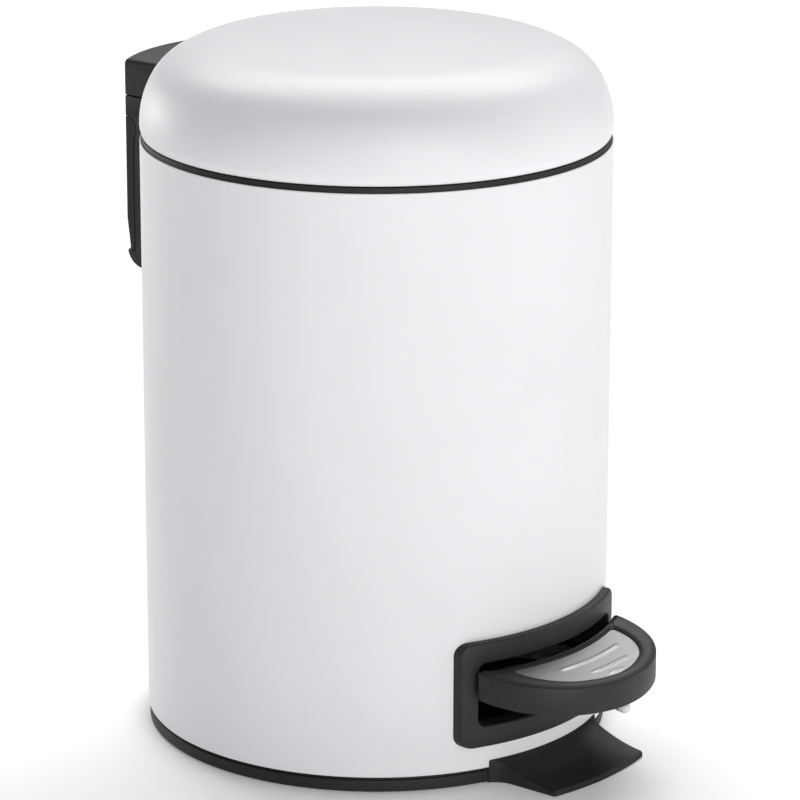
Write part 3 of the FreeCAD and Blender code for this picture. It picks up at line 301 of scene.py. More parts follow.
# %% White powder coat
def powder_coat():
    tint = (0.84, 0.84, 0.85)
    f = Finish("powder_coat", Specular_IOR_Level=0.45)
    broad = f.noise(18, 2)
    peel = f.noise(1700, 1)
    fine = f.noise(4200, 0)
    low = tuple(c * 0.975 for c in tint)
    f.set("Base Color", f.blend(broad.between(0.3, 0.7), low, tint))
    f.set("Roughness", 0.40 + 0.06 * broad + 0.05 * peel)
    f.height((peel, 0.16, 0.00012), (fine, 0.10, 0.00005))
    return f.material


# %% [markdown]
# ** Black moulded plastic** has a spark-eroded texture: tiny pits that scatter light, so it
# looks charcoal and not black.  The speckle is small next to the piece, and the tops of the
# grain are a little lighter and smoother where hands and shoes have polished them.  The foot,
# the rings, the hinge housing and the handle get a duller copy that is darker still.  That
# darker colour is painted shade, which keeps the foot's upward face dark under the back light.

# %% Textured and smooth black plastics
def textured_plastic(name, dark, light, rough=0.5):
    f = Finish(name, Specular_IOR_Level=0.5)
    pits = f.noise(2600, 2, 0.6)
    patch = f.noise(60, 3, 0.55)
    tops = pits.between(0.42, 0.68)
    f.set("Base Color", f.blend(tops * 0.8 + 0.2 * patch, dark, light))
    f.set("Roughness", rough + 0.16 * patch - 0.10 * tops)
    f.height((pits, 0.45, 0.00009), (patch, 0.05, 0.0004))
    return f.material


# %% [markdown]
# **Brushed steel** gets its look from thousands of parallel scratches.  Noise stretched far
# along one axis gives the scratches; they feed the bump and the roughness, and a slower
# stretched noise lets some bands shine more than others.

# %% Brushed and plated metals
def brushed_metal(name, tint, rough):
    stretch, scale, depth = (0.02, 1, 1), 5200, 0.00003
    f = Finish(name, Metallic=1.0)
    scratches = f.noise(scale, 2, 0.6, stretch)
    bands = f.noise(scale * 0.12, 2, 0.5, stretch)
    dark = tuple(c * 0.86 for c in tint)
    f.set("Base Color", f.blend(scratches.between(0.25, 0.75), dark, tint))
    f.set("Roughness", rough + 0.16 * scratches - 0.08 * bands)
    f.height((scratches, 0.5, depth), (bands, 0.15, depth))
    return f.material


def plated_metal(name, tint, rough=0.28):
    f = Finish(name, Metallic=1.0)
    cloud = f.noise(220, 3, 0.6)
    fine = f.noise(2600, 1)
    dark = tuple(c * 0.8 for c in tint)
    f.set("Base Color", f.blend(cloud.between(0.3, 0.7), dark, tint))
    f.set("Roughness", rough + 0.18 * cloud)
    f.height((fine, 0.12, 0.00003))
    return f.material


def polished_chrome(name):
    f = Finish(name, Metallic=1.0)
    haze = f.noise(300, 3, 0.6)
    f.set("Base Color", f.blend(haze.between(0.3, 0.7), (0.70, 0.71, 0.73), (0.80, 0.80, 0.81)))
    f.set("Roughness", 0.05 + 0.08 * haze)
    f.height((haze, 0.03, 0.00005))
    return f.material


def smooth_plastic(name, dark, light, rough=0.3):
    f = Finish(name, Specular_IOR_Level=0.5)
    cloud = f.noise(90, 3, 0.55)
    fine = f.noise(1500, 1)
    f.set("Base Color", f.blend(cloud.between(0.3, 0.7), dark, light))
    f.set("Roughness", rough + 0.14 * cloud)
    f.height((fine, 0.10, 0.00004))
    return f.material


def soft_rubber(name):
    f = Finish(name, Specular_IOR_Level=0.3)
    dust = f.noise(700, 4, 0.6)
    f.set("Base Color", f.blend(dust.between(0.4, 0.8), (0.012, 0.012, 0.013), (0.035, 0.035, 0.034)))
    f.set("Roughness", 0.72 + 0.2 * dust)
    f.height((dust, 0.3, 0.0001))
    return f.material


finishes = {
    "powder_coat": powder_coat(),
    "black_plastic": textured_plastic("black_plastic", (0.008, 0.008, 0.009), (0.019, 0.019, 0.021)),
    "brushed_tread": brushed_metal("brushed_tread", (0.38, 0.37, 0.365), 0.42),
    # A duller copy of the black plastic. Its darker colour is painted shade for the foot's upward face.
    "shaded_matt_plastic": textured_plastic("shaded_matt_plastic", (0.004, 0.004, 0.005), (0.012, 0.012, 0.013), 0.6),
    "chrome": polished_chrome("chrome"),
    "white_nylon": smooth_plastic("white_nylon", (0.72, 0.72, 0.71), (0.8, 0.8, 0.79)),
    "zinc_steel": plated_metal("zinc_steel", (0.55, 0.56, 0.58)),
    "screw_steel": plated_metal("screw_steel", (0.48, 0.48, 0.50), 0.22),
    "grey_plastic": smooth_plastic("grey_plastic", (0.030, 0.030, 0.032), (0.042, 0.042, 0.045), 0.34),
    "damper_plastic": smooth_plastic("damper_plastic", (0.09, 0.09, 0.10), (0.13, 0.13, 0.14), 0.22),
    "rubber": soft_rubber("rubber"),
}


def fit(piece, node, slot, finish=None):
    """The piece stands for a CAD node: it rides that node's body and takes its slot's finish,
    or the finish that is named."""
    piece.data.materials.clear()
    piece.data.materials.append(finishes[finish or slot])
    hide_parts(node)
    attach(piece, frame["nodes"][node]["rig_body"])
    print(piece.name, len(piece.data.polygons), "faces")
    return piece


# %% [markdown]
# ## The steel shell
# The body is one sheet rolled into a tube.  It is made as a single sheet of points on the
# outside radius, its edges turned in by a hair, with the pedal window and the hinge slot left
# out.  Solidify then gives the sheet its wall, inwards, which closes every edge.

# %% Outer shell
def sheet_wall(piece, thickness):
    """Gives a single sheet a wall on its inner side."""
    wall = piece.modifiers.new("wall", "SOLIDIFY")
    wall.thickness = thickness
    wall.offset = -1
    wall.use_even_offset = True
    return piece


def spread(*marks, step):
    """Numbers from the first mark to the last, evenly spaced between neighbouring marks."""
    runs = [np.linspace(a, b, max(2, int(round((b - a) / step)) + 1))[:-1]
            for a, b in zip(marks, marks[1:])]
    return np.concatenate(runs + [[marks[-1]]])


def open_sheet_normals(piece):
    """Turns an open turned sheet so that its faces look away from the axis."""
    mesh = piece.data
    centre, normal = mesh.polygons[0].center, mesh.polygons[0].normal
    if centre.x * normal.x + centre.y * normal.y < 0:
        mesh.flip_normals()
    return piece


window_edge = 38.3 * MM
window_low, window_high = 21.3 * MM, 48.4 * MM
slot_edge, slot_low = 7.2 * MM, 184.0 * MM
half_window = math.degrees(math.asin(window_edge / body_radius))
half_slot = math.degrees(math.asin(slot_edge / body_radius))
shell_angles = spread(-180, -90 - half_window, -90 + half_window, 90 - half_slot, 90 + half_slot, 180,
                      step=turn_step)[:-1]
hem = 0.35 * MM
upright_heights = spread(shell_low.z + 2 * hem, window_low, window_high, slot_low,
                         shell_high.z - 2 * hem, step=9.0 * MM)
shell_profile = profile(
    arc_points((body_radius - hem, shell_low.z + hem), hem, -90, 0, 5),
    np.stack([np.full(len(upright_heights), body_radius), upright_heights], -1),
    arc_points((body_radius - hem, shell_high.z - hem), hem, 0, 90, 5),
)


def shell_keep(centres):
    """True for the faces outside the pedal's window and the hinge's slot."""
    angle = np.degrees(np.arctan2(centres[:, 1], centres[:, 0]))
    z = centres[:, 2]
    in_window = (abs(angle + 90) < half_window) & (window_low < z) & (z < window_high)
    in_slot = (abs(angle - 90) < half_slot) & (z > slot_low)
    return ~(in_window | in_slot)


shell = surface("steel_shell", lathe(shell_profile, shell_angles), close_rows=True, keep=shell_keep)
sheet_wall(open_sheet_normals(shell), shell_wall)
fit(shell, "outer_shell", "powder_coat")

# %% [markdown]
# ## The domed lid
# A pressed lid is the same idea: one profile, turned.  The edge curls in a little, three arcs
# make the round shoulder, and a fourth, much wider one domes the top.  Each arc is tangent to
# the next: they share a tilt there, and the next centre lies on the line through both.

# %% Lid
curl = 0.8 * MM
curl_height = 3.5 * MM
lid_slot = 16.0 * MM
lid_slot_top = lid_low.z + 8.0 * MM
shoulder_arcs = [(32.5 * MM, 90, 60), (21.2 * MM, 60, 30), (40.8 * MM, 30, 8)]  # radius, two tilts


def dome_points(start, arcs):
    """Tangent arcs from a start point: each centre is the last point less radius * (sin, cos) of
    the tilt, and a point is centre + radius * (sin, cos).  The last arc is centred on the axis."""
    (r, z), points = start, []
    for radius, tilt, end in [*arcs, (None, arcs[-1][2], 0)]:
        tilt, end = math.radians(tilt), math.radians(end)
        radius = radius or r / math.sin(tilt)
        turn = np.linspace(tilt, end, 15)[1:]
        centre = (r - radius * math.sin(tilt), z - radius * math.cos(tilt))
        arc = (centre[0] + radius * np.sin(turn), centre[1] + radius * np.cos(turn))
        points.append(np.stack(arc, -1))
        r, z = points[-1][-1]
    return np.concatenate(points)


t = np.linspace(0, 1, 8)[:, None]
curled_edge = np.concatenate([lid_radius - curl * (1 - t) ** 2, lid_low.z + curl_height * t], 1)
lid_profile = profile(curled_edge, dome_points((lid_radius, lid_low.z + curl_height), shoulder_arcs))
print("lid top", round(float(lid_profile[-1, 1]), 5), "of", round(lid_high.z, 5))
half_lid_slot = math.degrees(math.asin(lid_slot / lid_radius))
lid_angles = spread(-180, 90 - half_lid_slot, 90 + half_lid_slot, 180, step=turn_step)[:-1]


def lid_keep(centres):
    """True for the faces outside the notch where the hinge passes the lid's edge."""
    behind = (centres[:, 1] > 0) & (abs(centres[:, 0]) < lid_slot)
    return ~(behind & (centres[:, 2] < lid_slot_top))


lid = surface("lid_dome", lathe(lid_profile, lid_angles), close_rows=True, keep=lid_keep,
              smooth_angle=60)
sheet_wall(open_sheet_normals(lid), shell_wall)
fit(lid, "lid_shell", "powder_coat")

# %% [markdown]
# ## Black rings
# The rim ring, the base and its rubber ring have closed profiles, so their turned surface is
# closed too.  Where a ring is interrupted, its two ends get a flat cap.

# %% Rim ring, base pan and rubber ring
def ring(name, outline, start=None, end=None, corner=0.3 * MM):
    """A closed (radius, height) outline turned all the way round, or from start to end degrees."""
    outline = rounded(np.array(outline), corner)
    if start is None:
        return surface(name, lathe(outline, full_turn), close_rows=True, close_columns=True)
    return surface(name, lathe(outline, spread(start, end, step=turn_step)), close_columns=True,
                   cap_rows=True)


rim_low, rim_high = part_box("top_rim_ring")
rim_radius = rim_high.x
rim_inner = rim_radius - 1.7 * MM
ledge_inner = rim_inner - 4.1 * MM
ledge_top = shell_high.z - 3.6 * MM
ledge_low = ledge_top - 2.0 * MM
hinge_gap = 6.1  # degrees left out on each side of the hinge
rim = ring("rim_ring", [
    (rim_radius, rim_low.z), (rim_radius, rim_high.z), (rim_inner, rim_high.z),
    (rim_inner, ledge_top), (ledge_inner, ledge_top), (ledge_inner, ledge_low),
    (rim_inner, ledge_low), (rim_inner, rim_low.z)], 90 + hinge_gap, 450 - hinge_gap)
fit(rim, "top_rim_ring", "black_plastic", "shaded_matt_plastic")

pan_low, pan_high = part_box("base_pan")
rubber_low, rubber_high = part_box("anti_slip_ring")
band_radius = pan_high.x
groove_radius = band_radius - 0.9 * MM
inner_radius = band_radius - 1.9 * MM
plug_radius = body_radius - 0.7 * MM
plug_inner = plug_radius - 2.1 * MM
band_top = 4.8 * MM
floor_low, floor_top = 2.5 * MM, 4.5 * MM
rubber_out, rubber_in = rubber_high.x, rubber_high.x - 4.8 * MM
seam_angle = 22.5
clear = 0.1 * MM
ledge_radius = rubber_in - 1.3 * MM
band = ring("band", [
    (inner_radius, pan_low.z), (band_radius, pan_low.z), (band_radius, band_top),
    (groove_radius, band_top), (groove_radius, shell_low.z), (inner_radius, shell_low.z)],
    -90 + seam_angle, 270 - seam_angle, 0.35 * MM)
pan = ring("pan", [
    (plug_radius, shell_low.z), (plug_radius, pan_high.z), (plug_inner, pan_high.z),
    (plug_inner, floor_top), (0, floor_top), (0, floor_low), (ledge_radius, floor_low),
    (ledge_radius, pan_low.z), (rubber_in - clear, pan_low.z), (rubber_in - clear, rubber_high.z),
    (rubber_out + clear, rubber_high.z), (rubber_out + clear, pan_low.z),
    (inner_radius, pan_low.z), (inner_radius, shell_low.z)], corner=0.2 * MM)
fit(join("base_pan_skin", [band, pan]), "base_pan", "black_plastic", "shaded_matt_plastic")

rib = 0.8 * MM
groove_lift = 0.5 * MM
ribbed = [(rubber_out, rubber_high.z), (rubber_out, 0)]
for k in range(2):
    edge = rubber_out - (2 * k + 1) * rib
    ribbed += [(edge, 0), (edge, groove_lift), (edge - rib, groove_lift), (edge - rib, 0)]
ribbed += [(rubber_in, 0), (rubber_in, rubber_high.z)]
fit(ring("rubber_ring", ribbed, corner=0.15 * MM), "anti_slip_ring", "rubber")

# %% [markdown]
# ## The front foot
# A tongue that keeps the can from tipping when the pedal is trodden on.  Its rows lie on
# circles round the can's axis, so that its back fits the shell and its tip is round.  Each
# row is a small flat arch: sides, two rounded corners and a level top whose height falls
# towards the tip along a hollow curve.

# %% Front foot
foot_tip = -foot_low.y
foot_side, foot_tip_side = 26.4 * MM, 25.2 * MM
blend_reach, blend_width = 5.2 * MM, 4.6 * MM
foot_floor = foot_low.z
row_start = body_radius + clear
foot_middle, foot_run = 94.2 * MM, 13.2 * MM
middle_height, fall, hollow = 4.78 * MM, 3.95 * MM, 1.67 * MM


def foot_top(radius):
    """Height of the tongue's upper face, a parabola: middle height - fall * s + hollow * s^2,
    where s is the distance from the middle over the run."""
    s = (radius - foot_middle) / foot_run
    return middle_height - fall * s + hollow * s ** 2


def foot_half_width(radius):
    """Narrows evenly to the tip; near the shell it widens along a quarter circle."""
    along = (radius - body_radius) / (foot_tip - body_radius)
    width = foot_side + (foot_tip_side - foot_side) * along
    near = np.clip((body_radius + blend_reach - radius) / blend_reach, 0, 1)
    return width + blend_width * (1 - np.sqrt(1 - near ** 2))


def foot_row(radius, top, half, corner=0.7 * MM):
    """One cross-section: (x, z) outline of the arch, set on the circle of that radius."""
    corner = min(corner, 0.45 * (top - foot_floor))
    left = arc_points((-half + corner, top - corner), corner, 180, 90, 6)
    right = arc_points((half - corner, top - corner), corner, 90, 0, 6)
    across = np.stack([np.linspace(-half + corner, half - corner, 40)[1:-1], np.full(38, top)], -1)
    under = np.stack([np.linspace(half, -half, 40), np.full(40, foot_floor)], -1)
    outline = profile(left, across, right, under)
    x, z = outline[:, 0], outline[:, 1]
    return np.stack([x, -np.sqrt(radius ** 2 - x ** 2), z], -1)


step_top = shell_low.z - clear
tip_round = 0.7 * MM
tip_narrowing = 0.4  # of the drop at the rounded tip
seam_gap = 0.1  # degrees between the foot's ring and the base's band
stations = spread(row_start, row_start + blend_reach, foot_tip - tip_round, step=0.9 * MM)
rows = [foot_row(groove_radius, step_top, foot_half_width(row_start)),
        foot_row(row_start, step_top, foot_half_width(row_start))]
rows += [foot_row(r, foot_top(r), foot_half_width(r)) for r in stations]
for turn in (30, 60, 90):
    r = foot_tip - tip_round * (1 - math.sin(math.radians(turn)))
    drop = tip_round * (1 - math.cos(math.radians(turn)))
    rows.append(foot_row(r, foot_top(foot_tip - tip_round) - drop,
                         foot_tip_side - drop * tip_narrowing))
tongue = surface("tongue", np.array(rows), close_columns=True, cap_rows=True)
foot_ring = ring("foot_ring", [
    (inner_radius, foot_floor), (band_radius, foot_floor), (band_radius, band_top),
    (groove_radius, band_top), (groove_radius, step_top), (inner_radius, step_top)],
    -90 - seam_angle + seam_gap, -90 + seam_angle - seam_gap, 0.35 * MM)
fit(join("front_foot_skin", [tongue, foot_ring]), "front_foot", "black_plastic", "shaded_matt_plastic")

# %% [markdown]
# ## The pedal surround
# The frame round the pedal's window follows the round shell.  Its outline is a rectangle
# with round corners, and its face is made of several such outlines, one inside the other:
# up the outer side, over a rounded edge, across the face, over the inner edge and into the
# window.  Each outline lies on a circle of its own radius.

# %% Pedal surround
def rounded_rectangle(half_width, low, high, corner, side=26, turn=8):
    """Closed outline as (x, z): four sides and four quarter circles, always in equal numbers."""
    corners = [(half_width - corner, high - corner, 0), (-half_width + corner, high - corner, 90),
               (-half_width + corner, low + corner, 180), (half_width - corner, low + corner, 270)]
    outline = []
    for k, (x, z, start) in enumerate(corners):
        bend = arc_points((x, z), corner, start, start + 90, turn)
        following = corners[(k + 1) % 4]
        first_next = arc_points(following[:2], corner, following[2], following[2] + 90, turn)[0]
        run = bend[-1] + (first_next - bend[-1]) * np.linspace(0, 1, side)[1:-1, None]
        outline += [bend, run]
    return np.concatenate(outline)


def on_shell(outline, radius):
    """(x, z) points carried along -Y onto a cylinder of that radius."""
    x, z = outline[:, 0], outline[:, 1]
    return np.stack([x, -np.sqrt(radius ** 2 - x ** 2), z], -1)


frame_half = surround_high.x
frame_low, frame_top = surround_low.z, surround_high.z
opening_half, opening_low, opening_top = 36.4 * MM, 23.2 * MM, 46.5 * MM
face_radius = body_radius + 3.2 * MM
seat_radius = body_radius + 0.05 * MM
edge_round = 0.9 * MM
neck = 1.8 * MM
inner_face = body_radius - 3.2 * MM
frame_corner, opening_corner = 4.5 * MM, 3.0 * MM


def outer_outline(inset):
    """The frame's outside, drawn in by the inset."""
    return rounded_rectangle(frame_half - inset, frame_low + inset, frame_top - inset,
                             frame_corner - inset)


def window_outline(grow):
    """The opening, drawn larger all round."""
    return rounded_rectangle(opening_half + grow, opening_low - grow, opening_top + grow,
                             opening_corner + grow)


rings = [on_shell(outer_outline(0), seat_radius)]
edge_steps = [(edge_round * (1 - math.cos(turn)), face_radius - edge_round * (1 - math.sin(turn)))
              for turn in np.radians([0, 22, 45, 68, 90])]  # inwards, and the circle's radius
rings += [on_shell(outer_outline(inwards), radius) for inwards, radius in edge_steps]
rings += [on_shell(window_outline(inwards), radius) for inwards, radius in reversed(edge_steps)]
rings += [on_shell(window_outline(0), inner_face), on_shell(window_outline(neck), inner_face),
          on_shell(window_outline(neck), seat_radius)]
surround = surface("window_frame", np.array(rings), close_rows=True, close_columns=True)
fit(surround, "pedal_surround", "black_plastic")

# %% [markdown]
# ## The pedal
# From above the pedal is a crescent: a long front arc, two tighter side arcs that meet it
# along its tangent, small corners, and a back edge that follows the surround.  `crescent`
# gives that outline for any set of its sizes, always with the same number of points, so
# outlines of different sizes can be joined ring by ring, as on the surround.

# %% Pedal outline
def crescent(tip, front, shoulder_x, half, back, back_half, corner=1.6 * MM):
    """Closed (x, y) outline, anticlockwise from the right end of the front arc.  A side arc's
    radius is (half width - shoulder) / (1 - sin slope), which makes it meet the front arc on
    one tangent; the back is an arc of its own radius about the can's axis."""
    centre_y = -(tip - front)
    slope = math.asin(shoulder_x / front)
    shoulder_y = centre_y - front * math.cos(slope)
    side = (half - shoulder_x) / (1 - math.sin(slope))
    side_centre = (half - side, shoulder_y + side * math.cos(slope))
    start = math.degrees(slope) - 90
    side_arc = arc_points(side_centre, side, start, 0, 24)
    back_end = np.array([back_half, -math.sqrt(back ** 2 - back_half ** 2)])
    top = np.array([half, max(side_centre[1], back_end[1] - corner)])
    t = np.linspace(0, 1, 8)[1:, None]
    bend_corner = np.array([half, back_end[1] - 0.3 * MM])
    bend = (1 - t) ** 2 * top + 2 * t * (1 - t) * bend_corner + t ** 2 * back_end
    right = np.concatenate([side_arc, bend])
    back_angle = math.degrees(math.asin(back_half / back))
    back_arc = arc_points((0, 0), back, -90 + back_angle, -90 - back_angle, 40)[1:-1]
    left = right[::-1] * (-1, 1)
    front_arc = arc_points((0, centre_y), front, -90 - math.degrees(slope), start, 40)[1:-1]
    return np.concatenate([right, back_arc, left, front_arc])


back_gap = 1.6 * MM
pedal_sizes = dict(tip=-pedal_low.y, front=44.5 * MM, shoulder=22.5 * MM, half=pedal_high.x,
                   back=face_radius + back_gap, back_half=38.2 * MM)
tread_sizes = dict(tip=112.5 * MM, front=36.0 * MM, shoulder=17.0 * MM, half=28.8 * MM,
                   back=face_radius + back_gap + 2.5 * MM, back_half=27.4 * MM, corner=1.0 * MM)
plane_height = 45.2 * MM
plane_tilt = 0.1
pedal_depth = 11.0 * MM


def pedal_plane(y):
    """Height of the pedal's upper face: it falls a tenth of the way forwards."""
    return plane_height + plane_tilt * (y + body_radius)


def shrunk(inset, tip, front, shoulder, half, back, back_half, **corner):
    """The crescent of these sizes, drawn in by the inset on every side."""
    return crescent(tip - inset, front - inset, shoulder * (1 - inset / front), half - inset,
                    back + inset, back_half - inset, **corner)


def pedal_outline(inset):
    return shrunk(inset, **pedal_sizes)


def tread_outline(inset):
    return shrunk(inset, **tread_sizes)


def pedal_ring(outline, down):
    """An outline laid the given depth under the pedal's sloping face."""
    x, y = outline[:, 0], outline[:, 1]
    return np.stack([x, y, pedal_plane(y) - down], -1)


def to_centre(outline, down):
    """The same number of points, all in the middle: closes a surface like a drum skin."""
    return pedal_ring(np.repeat(outline.mean(0)[None], len(outline), 0), down)


# %% [markdown]
# The **pedal frame** is one closed skin made of such rings, from the middle of its face to
# the middle of its underside.  The tread plate lies in a pocket a millimetre under the face,
# with a sloping wall round it, so the rings first go down into that pocket and back up.

# %% Pedal frame
bevel_width, bevel_drop = 1.9 * MM, 0.9 * MM
wall = 2.6 * MM
skin_thick = 2.5 * MM
tread_drop = 1.0 * MM
tread_seat = 1.95 * MM
pedal_rings = [
    to_centre(tread_outline(0), tread_seat), pedal_ring(tread_outline(0), tread_seat),
    pedal_ring(tread_outline(0), tread_drop), pedal_ring(tread_outline(-0.9 * MM), 0.16 * MM),
    pedal_ring(tread_outline(-1.2 * MM), 0),
    pedal_ring(pedal_outline(bevel_width + 0.2 * MM), 0),
    pedal_ring(pedal_outline(bevel_width), 0.04 * MM),
    pedal_ring(pedal_outline(0.35 * MM), bevel_drop - 0.15 * MM),
    pedal_ring(pedal_outline(0.1 * MM), bevel_drop + 0.1 * MM),
    pedal_ring(pedal_outline(0), bevel_drop + 0.5 * MM),
    pedal_ring(pedal_outline(0), pedal_depth - 0.5 * MM),
    pedal_ring(pedal_outline(0.15 * MM), pedal_depth - 0.15 * MM),
    pedal_ring(pedal_outline(0.5 * MM), pedal_depth),
    pedal_ring(pedal_outline(wall), pedal_depth), pedal_ring(pedal_outline(wall), skin_thick),
    to_centre(pedal_outline(wall), skin_thick),
]
pedal_skin = surface("pedal_skin", np.array(pedal_rings), close_columns=True, smooth_angle=30)
fit(pedal_skin, "pedal_frame", "black_plastic")

# %% [markdown]
# The **tread plate** is thin steel with shallow ridges pressed into it.  The plate is drawn
# as its outline shrunk towards the middle in many steps.  A ridge is a bell curve of the
# distance to a circle round the can's axis, faded out at both ends, so it is real relief.

# %% Tread plate
ridges = [(98.8 * MM, -15.5 * MM, 20.0 * MM), (106.2 * MM, -7.5 * MM, 14.5 * MM),
          (110.4 * MM, -3.5 * MM, 6.0 * MM)]  # the circle's radius, and the x of both ends
ridge_height = 0.42 * MM
ridge_width = 0.62 * MM
ridge_fade = 3.0 * MM


def smooth_step(x, low, high):
    """0 below low, 1 above high, 3 t^2 - 2 t^3 in between."""
    t = np.clip((x - low) / (high - low), 0, 1)
    return t * t * (3 - 2 * t)


def ridge_relief(x, y):
    """Sum of the ridges: height * exp(-(distance to the circle / width)^2), faded at the ends."""
    radius = np.hypot(x, y)
    relief = 0
    for circle, left, right in ridges:
        across = np.exp(-((radius - circle) / ridge_width) ** 2)
        ends = smooth_step(x, left, left + ridge_fade) * (1 - smooth_step(x, right - ridge_fade, right))
        relief = relief + ridge_height * across * ends
    return relief


plate_edge = tread_outline(0.2 * MM)
plate_middle = plate_edge.mean(0)
steps = np.concatenate([np.linspace(0, 0.97, 75), [0.985, 1.0, 1.0]])
sinks = np.concatenate([np.full(75, 0.02 * MM), [0.04 * MM, 0.22 * MM, 0.9 * MM]])
flat = plate_middle + (plate_edge - plate_middle) * steps[:, None, None]
x, y = flat[..., 0], flat[..., 1]
height = pedal_plane(y) - tread_drop - sinks[:, None] + ridge_relief(x, y)
underside = to_centre(plate_edge, tread_drop + sinks[-1])
plate_rows = np.concatenate([np.stack([x, y, height], -1), underside[None]])
plate = surface("tread_skin", plate_rows, close_columns=True, smooth_angle=50)
fit(plate, "tread_plate", "brushed_tread")

# %% [markdown]
# Under the tip of the pedal sits a **chromed pin with a white nylon cap**, its stop on the
# foot.  Both are turned about a line along Y, so `turn_along_y` lays a profile on its side.

# %% Chromed pin and its cap
def turn_along_y(name, outline, centre_x, centre_z):
    """A (radius, y) profile turned about the line x = centre_x, z = centre_z."""
    angle = np.radians(np.arange(0, 360, 7.5))[:, None]
    r, y = outline[:, 0][None], outline[:, 1][None]
    points = np.stack([centre_x + r * np.cos(angle), y + 0 * angle, centre_z + r * np.sin(angle)], -1)
    return surface(name, points, close_rows=True)


pin_low, pin_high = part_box("pedal_pin")
cap_low, cap_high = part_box("pedal_pin_cap")
pin_x, pin_z = (pin_low.x + pin_high.x) / 2, (pin_low.z + pin_high.z) / 2
pin_radius = (pin_high.z - pin_low.z) / 2
cap_radius = (cap_high.z - cap_low.z) / 2
groove = 0.35 * MM
groove_slope = 0.3 * MM
groove_start, groove_end = pin_low.y + 0.9 * MM, pin_low.y + 2.2 * MM
pin_outline = profile(
    (0, pin_high.y), (pin_radius - groove, pin_high.y), (pin_radius, pin_high.y - groove),
    (pin_radius, groove_end), (pin_radius - groove, groove_end - groove_slope),
    (pin_radius - groove, groove_start + groove_slope), (pin_radius, groove_start),
    (pin_radius, pin_low.y), (0, pin_low.y))
fit(turn_along_y("stop_pin", pin_outline, pin_x, pin_z), "pedal_pin", "chrome")
dome_y = cap_low.y + cap_radius
cap_outline = profile((0, cap_high.y), (cap_radius - groove, cap_high.y),
                      (cap_radius, cap_high.y - groove), (cap_radius, dome_y),
                      arc_points((0, dome_y), cap_radius, 0, -90, 12))
fit(turn_along_y("stop_cap", cap_outline, pin_x, pin_z), "pedal_pin_cap", "white_nylon")

# %% [markdown]
# ## Pieces whose CAD shape is right
# The hinge housing, the handle, the bucket and the mechanism keep their CAD shape.  A CAD
# node is loose triangles, so a copy is taken, its doubles merged and its flat faces joined
# again; a small bevel then rounds the edges that a mould or a file would round, and catches
# the light along them.

# %% Finished copies of CAD pieces
own_finish = {"hinge_housing": "shaded_matt_plastic", "carry_handle": "shaded_matt_plastic"}
sharp = math.radians(32)  # a steeper edge than this is kept sharp, and bevelled
flat_enough = math.radians(0.2)
double_distance = 2e-6


def finished_copy(node, slot, bevel):
    """A merged copy of the node's mesh with its edges bevelled, standing for the node."""
    mesh = frame["nodes"][node].data.copy()
    bm = bmesh.new()
    bm.from_mesh(mesh)
    bmesh.ops.remove_doubles(bm, verts=bm.verts, dist=double_distance)
    bmesh.ops.dissolve_limit(bm, angle_limit=flat_enough, verts=bm.verts, edges=bm.edges)
    bm.to_mesh(mesh)
    bm.free()
    mesh.name = node + "_finished"
    mesh.shade_smooth()
    mesh.set_sharp_from_angle(angle=sharp)
    piece = bpy.data.objects.new(node + "_finished", mesh)
    scene.collection.objects.link(piece)
    edge = piece.modifiers.new("edge", "BEVEL")
    edge.width = bevel
    edge.segments = 2
    edge.limit_method = "ANGLE"
    edge.angle_limit = sharp
    edge.harden_normals = True
    edge.use_clamp_overlap = True
    return fit(piece, node, slot, own_finish.get(node))


slots = {entry["node"]: entry["material_slot"] for entry in frame["record"]["subparts"]}
bevels = {"hinge_housing": 0.3 * MM, "lid_hinge_cover": 0.35 * MM, "carry_handle": 0.3 * MM,
          "inner_bucket": 0.25 * MM, "lid_liner": 0.25 * MM, "lid_hinge_bracket": 0.15 * MM,
          "hinge_base": 0.15 * MM, "pedal_lever": 0.12 * MM, "rod_head": 0.15 * MM,
          "rod_foot": 0.15 * MM, "lever_brackets": 0.2 * MM, "damper_arm": 0.15 * MM,
          "rod_guide": 0.2 * MM, "backing_plate": 0.12 * MM}
small_bevel = 0.08 * MM
made_already = {"outer_shell", "lid_shell", "top_rim_ring", "base_pan", "anti_slip_ring", "front_foot",
                "pedal_surround", "pedal_frame", "tread_plate", "pedal_pin", "pedal_pin_cap"}
for node, slot_name in slots.items():
    if node not in made_already:
        finished_copy(node, slot_name, bevels.get(node, small_bevel))

# %% [markdown]
# ## Camera
# The camera stands 1.45 m from the can's axis and a little over half a metre high, with a
# long lens that keeps the can's sides nearly parallel.

# %% Camera
camera_azimuth = -49.03
camera_distance = 1.45244
camera_height = 0.56332
pitch_down = 17.02
lens, sensor = 189.13, 36.0
azimuth = math.radians(camera_azimuth)
camera_data = bpy.data.cameras.new("camera")
camera_data.lens = lens
camera_data.sensor_width = sensor
camera_data.shift_x = 0.0292
camera = bpy.data.objects.new("camera", camera_data)
scene.collection.objects.link(camera)
camera.location = (camera_distance * math.sin(azimuth), -camera_distance * math.cos(azimuth),
                   camera_height)
camera.rotation_euler = (math.radians(90 - pitch_down), 0, azimuth)
scene.camera = camera
scene.view_settings.view_transform = "Standard"

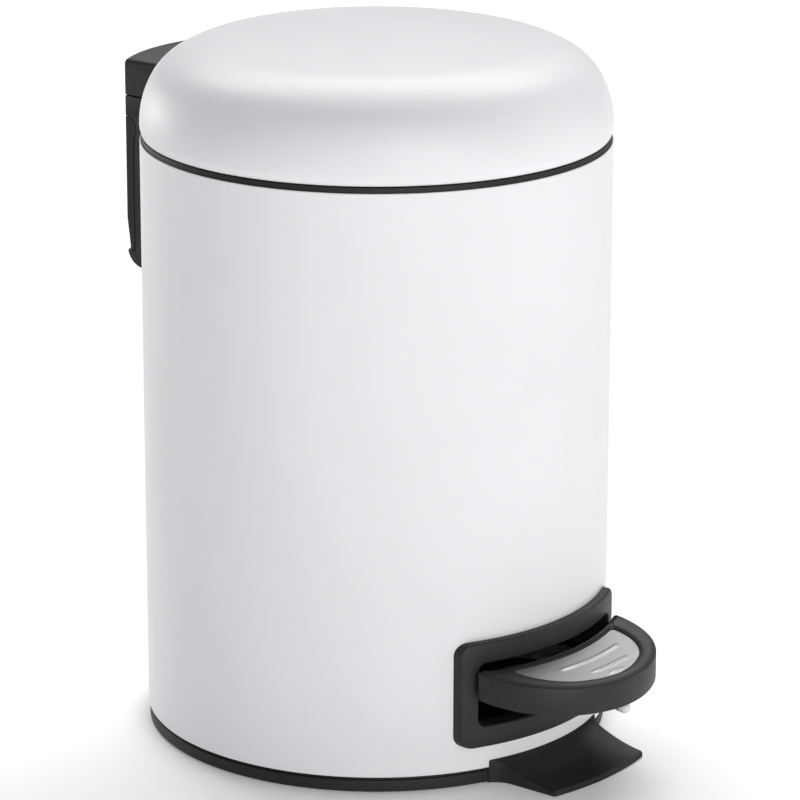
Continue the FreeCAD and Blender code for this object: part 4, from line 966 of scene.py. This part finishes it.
# %% [markdown]
# ## Floor and light
# A product shot: a pale floor that runs out of sight, a dim even sky, and four large soft
# lights.  The key stands to the camera's right.  A wide one stands high behind the can: it
# lights the floor and the lid's domed top, and leaves the lid's front shoulder darker.  A low
# one behind on the left draws a bright line down the can's edge, beside the soft grey of the
# side that faces away from the key, and a weak one on the right keeps that edge light.  The
# floor glows very faintly, so that it stays white right up to the can.

# %% Floor and light
def pale_floor():
    f = Finish("pale_floor", Roughness=0.6, Emission_Color=(1, 1, 1, 1), Emission_Strength=0.15)
    cloud = f.noise(3, 2)
    f.set("Base Color", f.blend(cloud.between(0.2, 0.8), (0.93, 0.93, 0.93), (0.95, 0.95, 0.95)))
    return f.material


half_floor = 30.0
floor = mesh_object("floor", [(-half_floor, -half_floor, 0), (half_floor, -half_floor, 0),
                              (half_floor, half_floor, 0), (-half_floor, half_floor, 0)],
                    [(0, 1, 2, 3)])
floor.data.materials.append(pale_floor())

world = bpy.data.worlds.new("studio")
scene.world = world
world.use_nodes = True
sky = world.node_tree.nodes["Background"]
sky.inputs["Color"].default_value = (0.88, 0.93, 1.0, 1)
sky.inputs["Strength"].default_value = 0.18


def soft_light(name, azimuth, elevation, distance, width, height, power, target=(0, 0, 0.1)):
    """A rectangular area light seen from the can at that azimuth and elevation, in degrees."""
    a, e = math.radians(azimuth), math.radians(elevation)
    lamp = bpy.data.lights.new(name, "AREA")
    lamp.shape = "RECTANGLE"
    lamp.size, lamp.size_y = width, height
    lamp.energy = power
    light = bpy.data.objects.new(name, lamp)
    scene.collection.objects.link(light)
    away = np.array([math.sin(a) * math.cos(e), -math.cos(a) * math.cos(e), math.sin(e)])
    light.location = np.array(target) + distance * away
    light.rotation_euler = (math.pi / 2 - e, 0, a)
    return light


soft_light("key", camera_azimuth + 22, 15, 3.0, 2.2, 1.6, 45)
soft_light("back", camera_azimuth + 180, 52, 6.0, 6.6, 1.5, 350)
soft_light("edge", camera_azimuth - 130, 2, 3.0, 1.3, 0.8, 26)
soft_light("side", camera_azimuth + 100, 8, 3.0, 1.0, 1.8, 13)
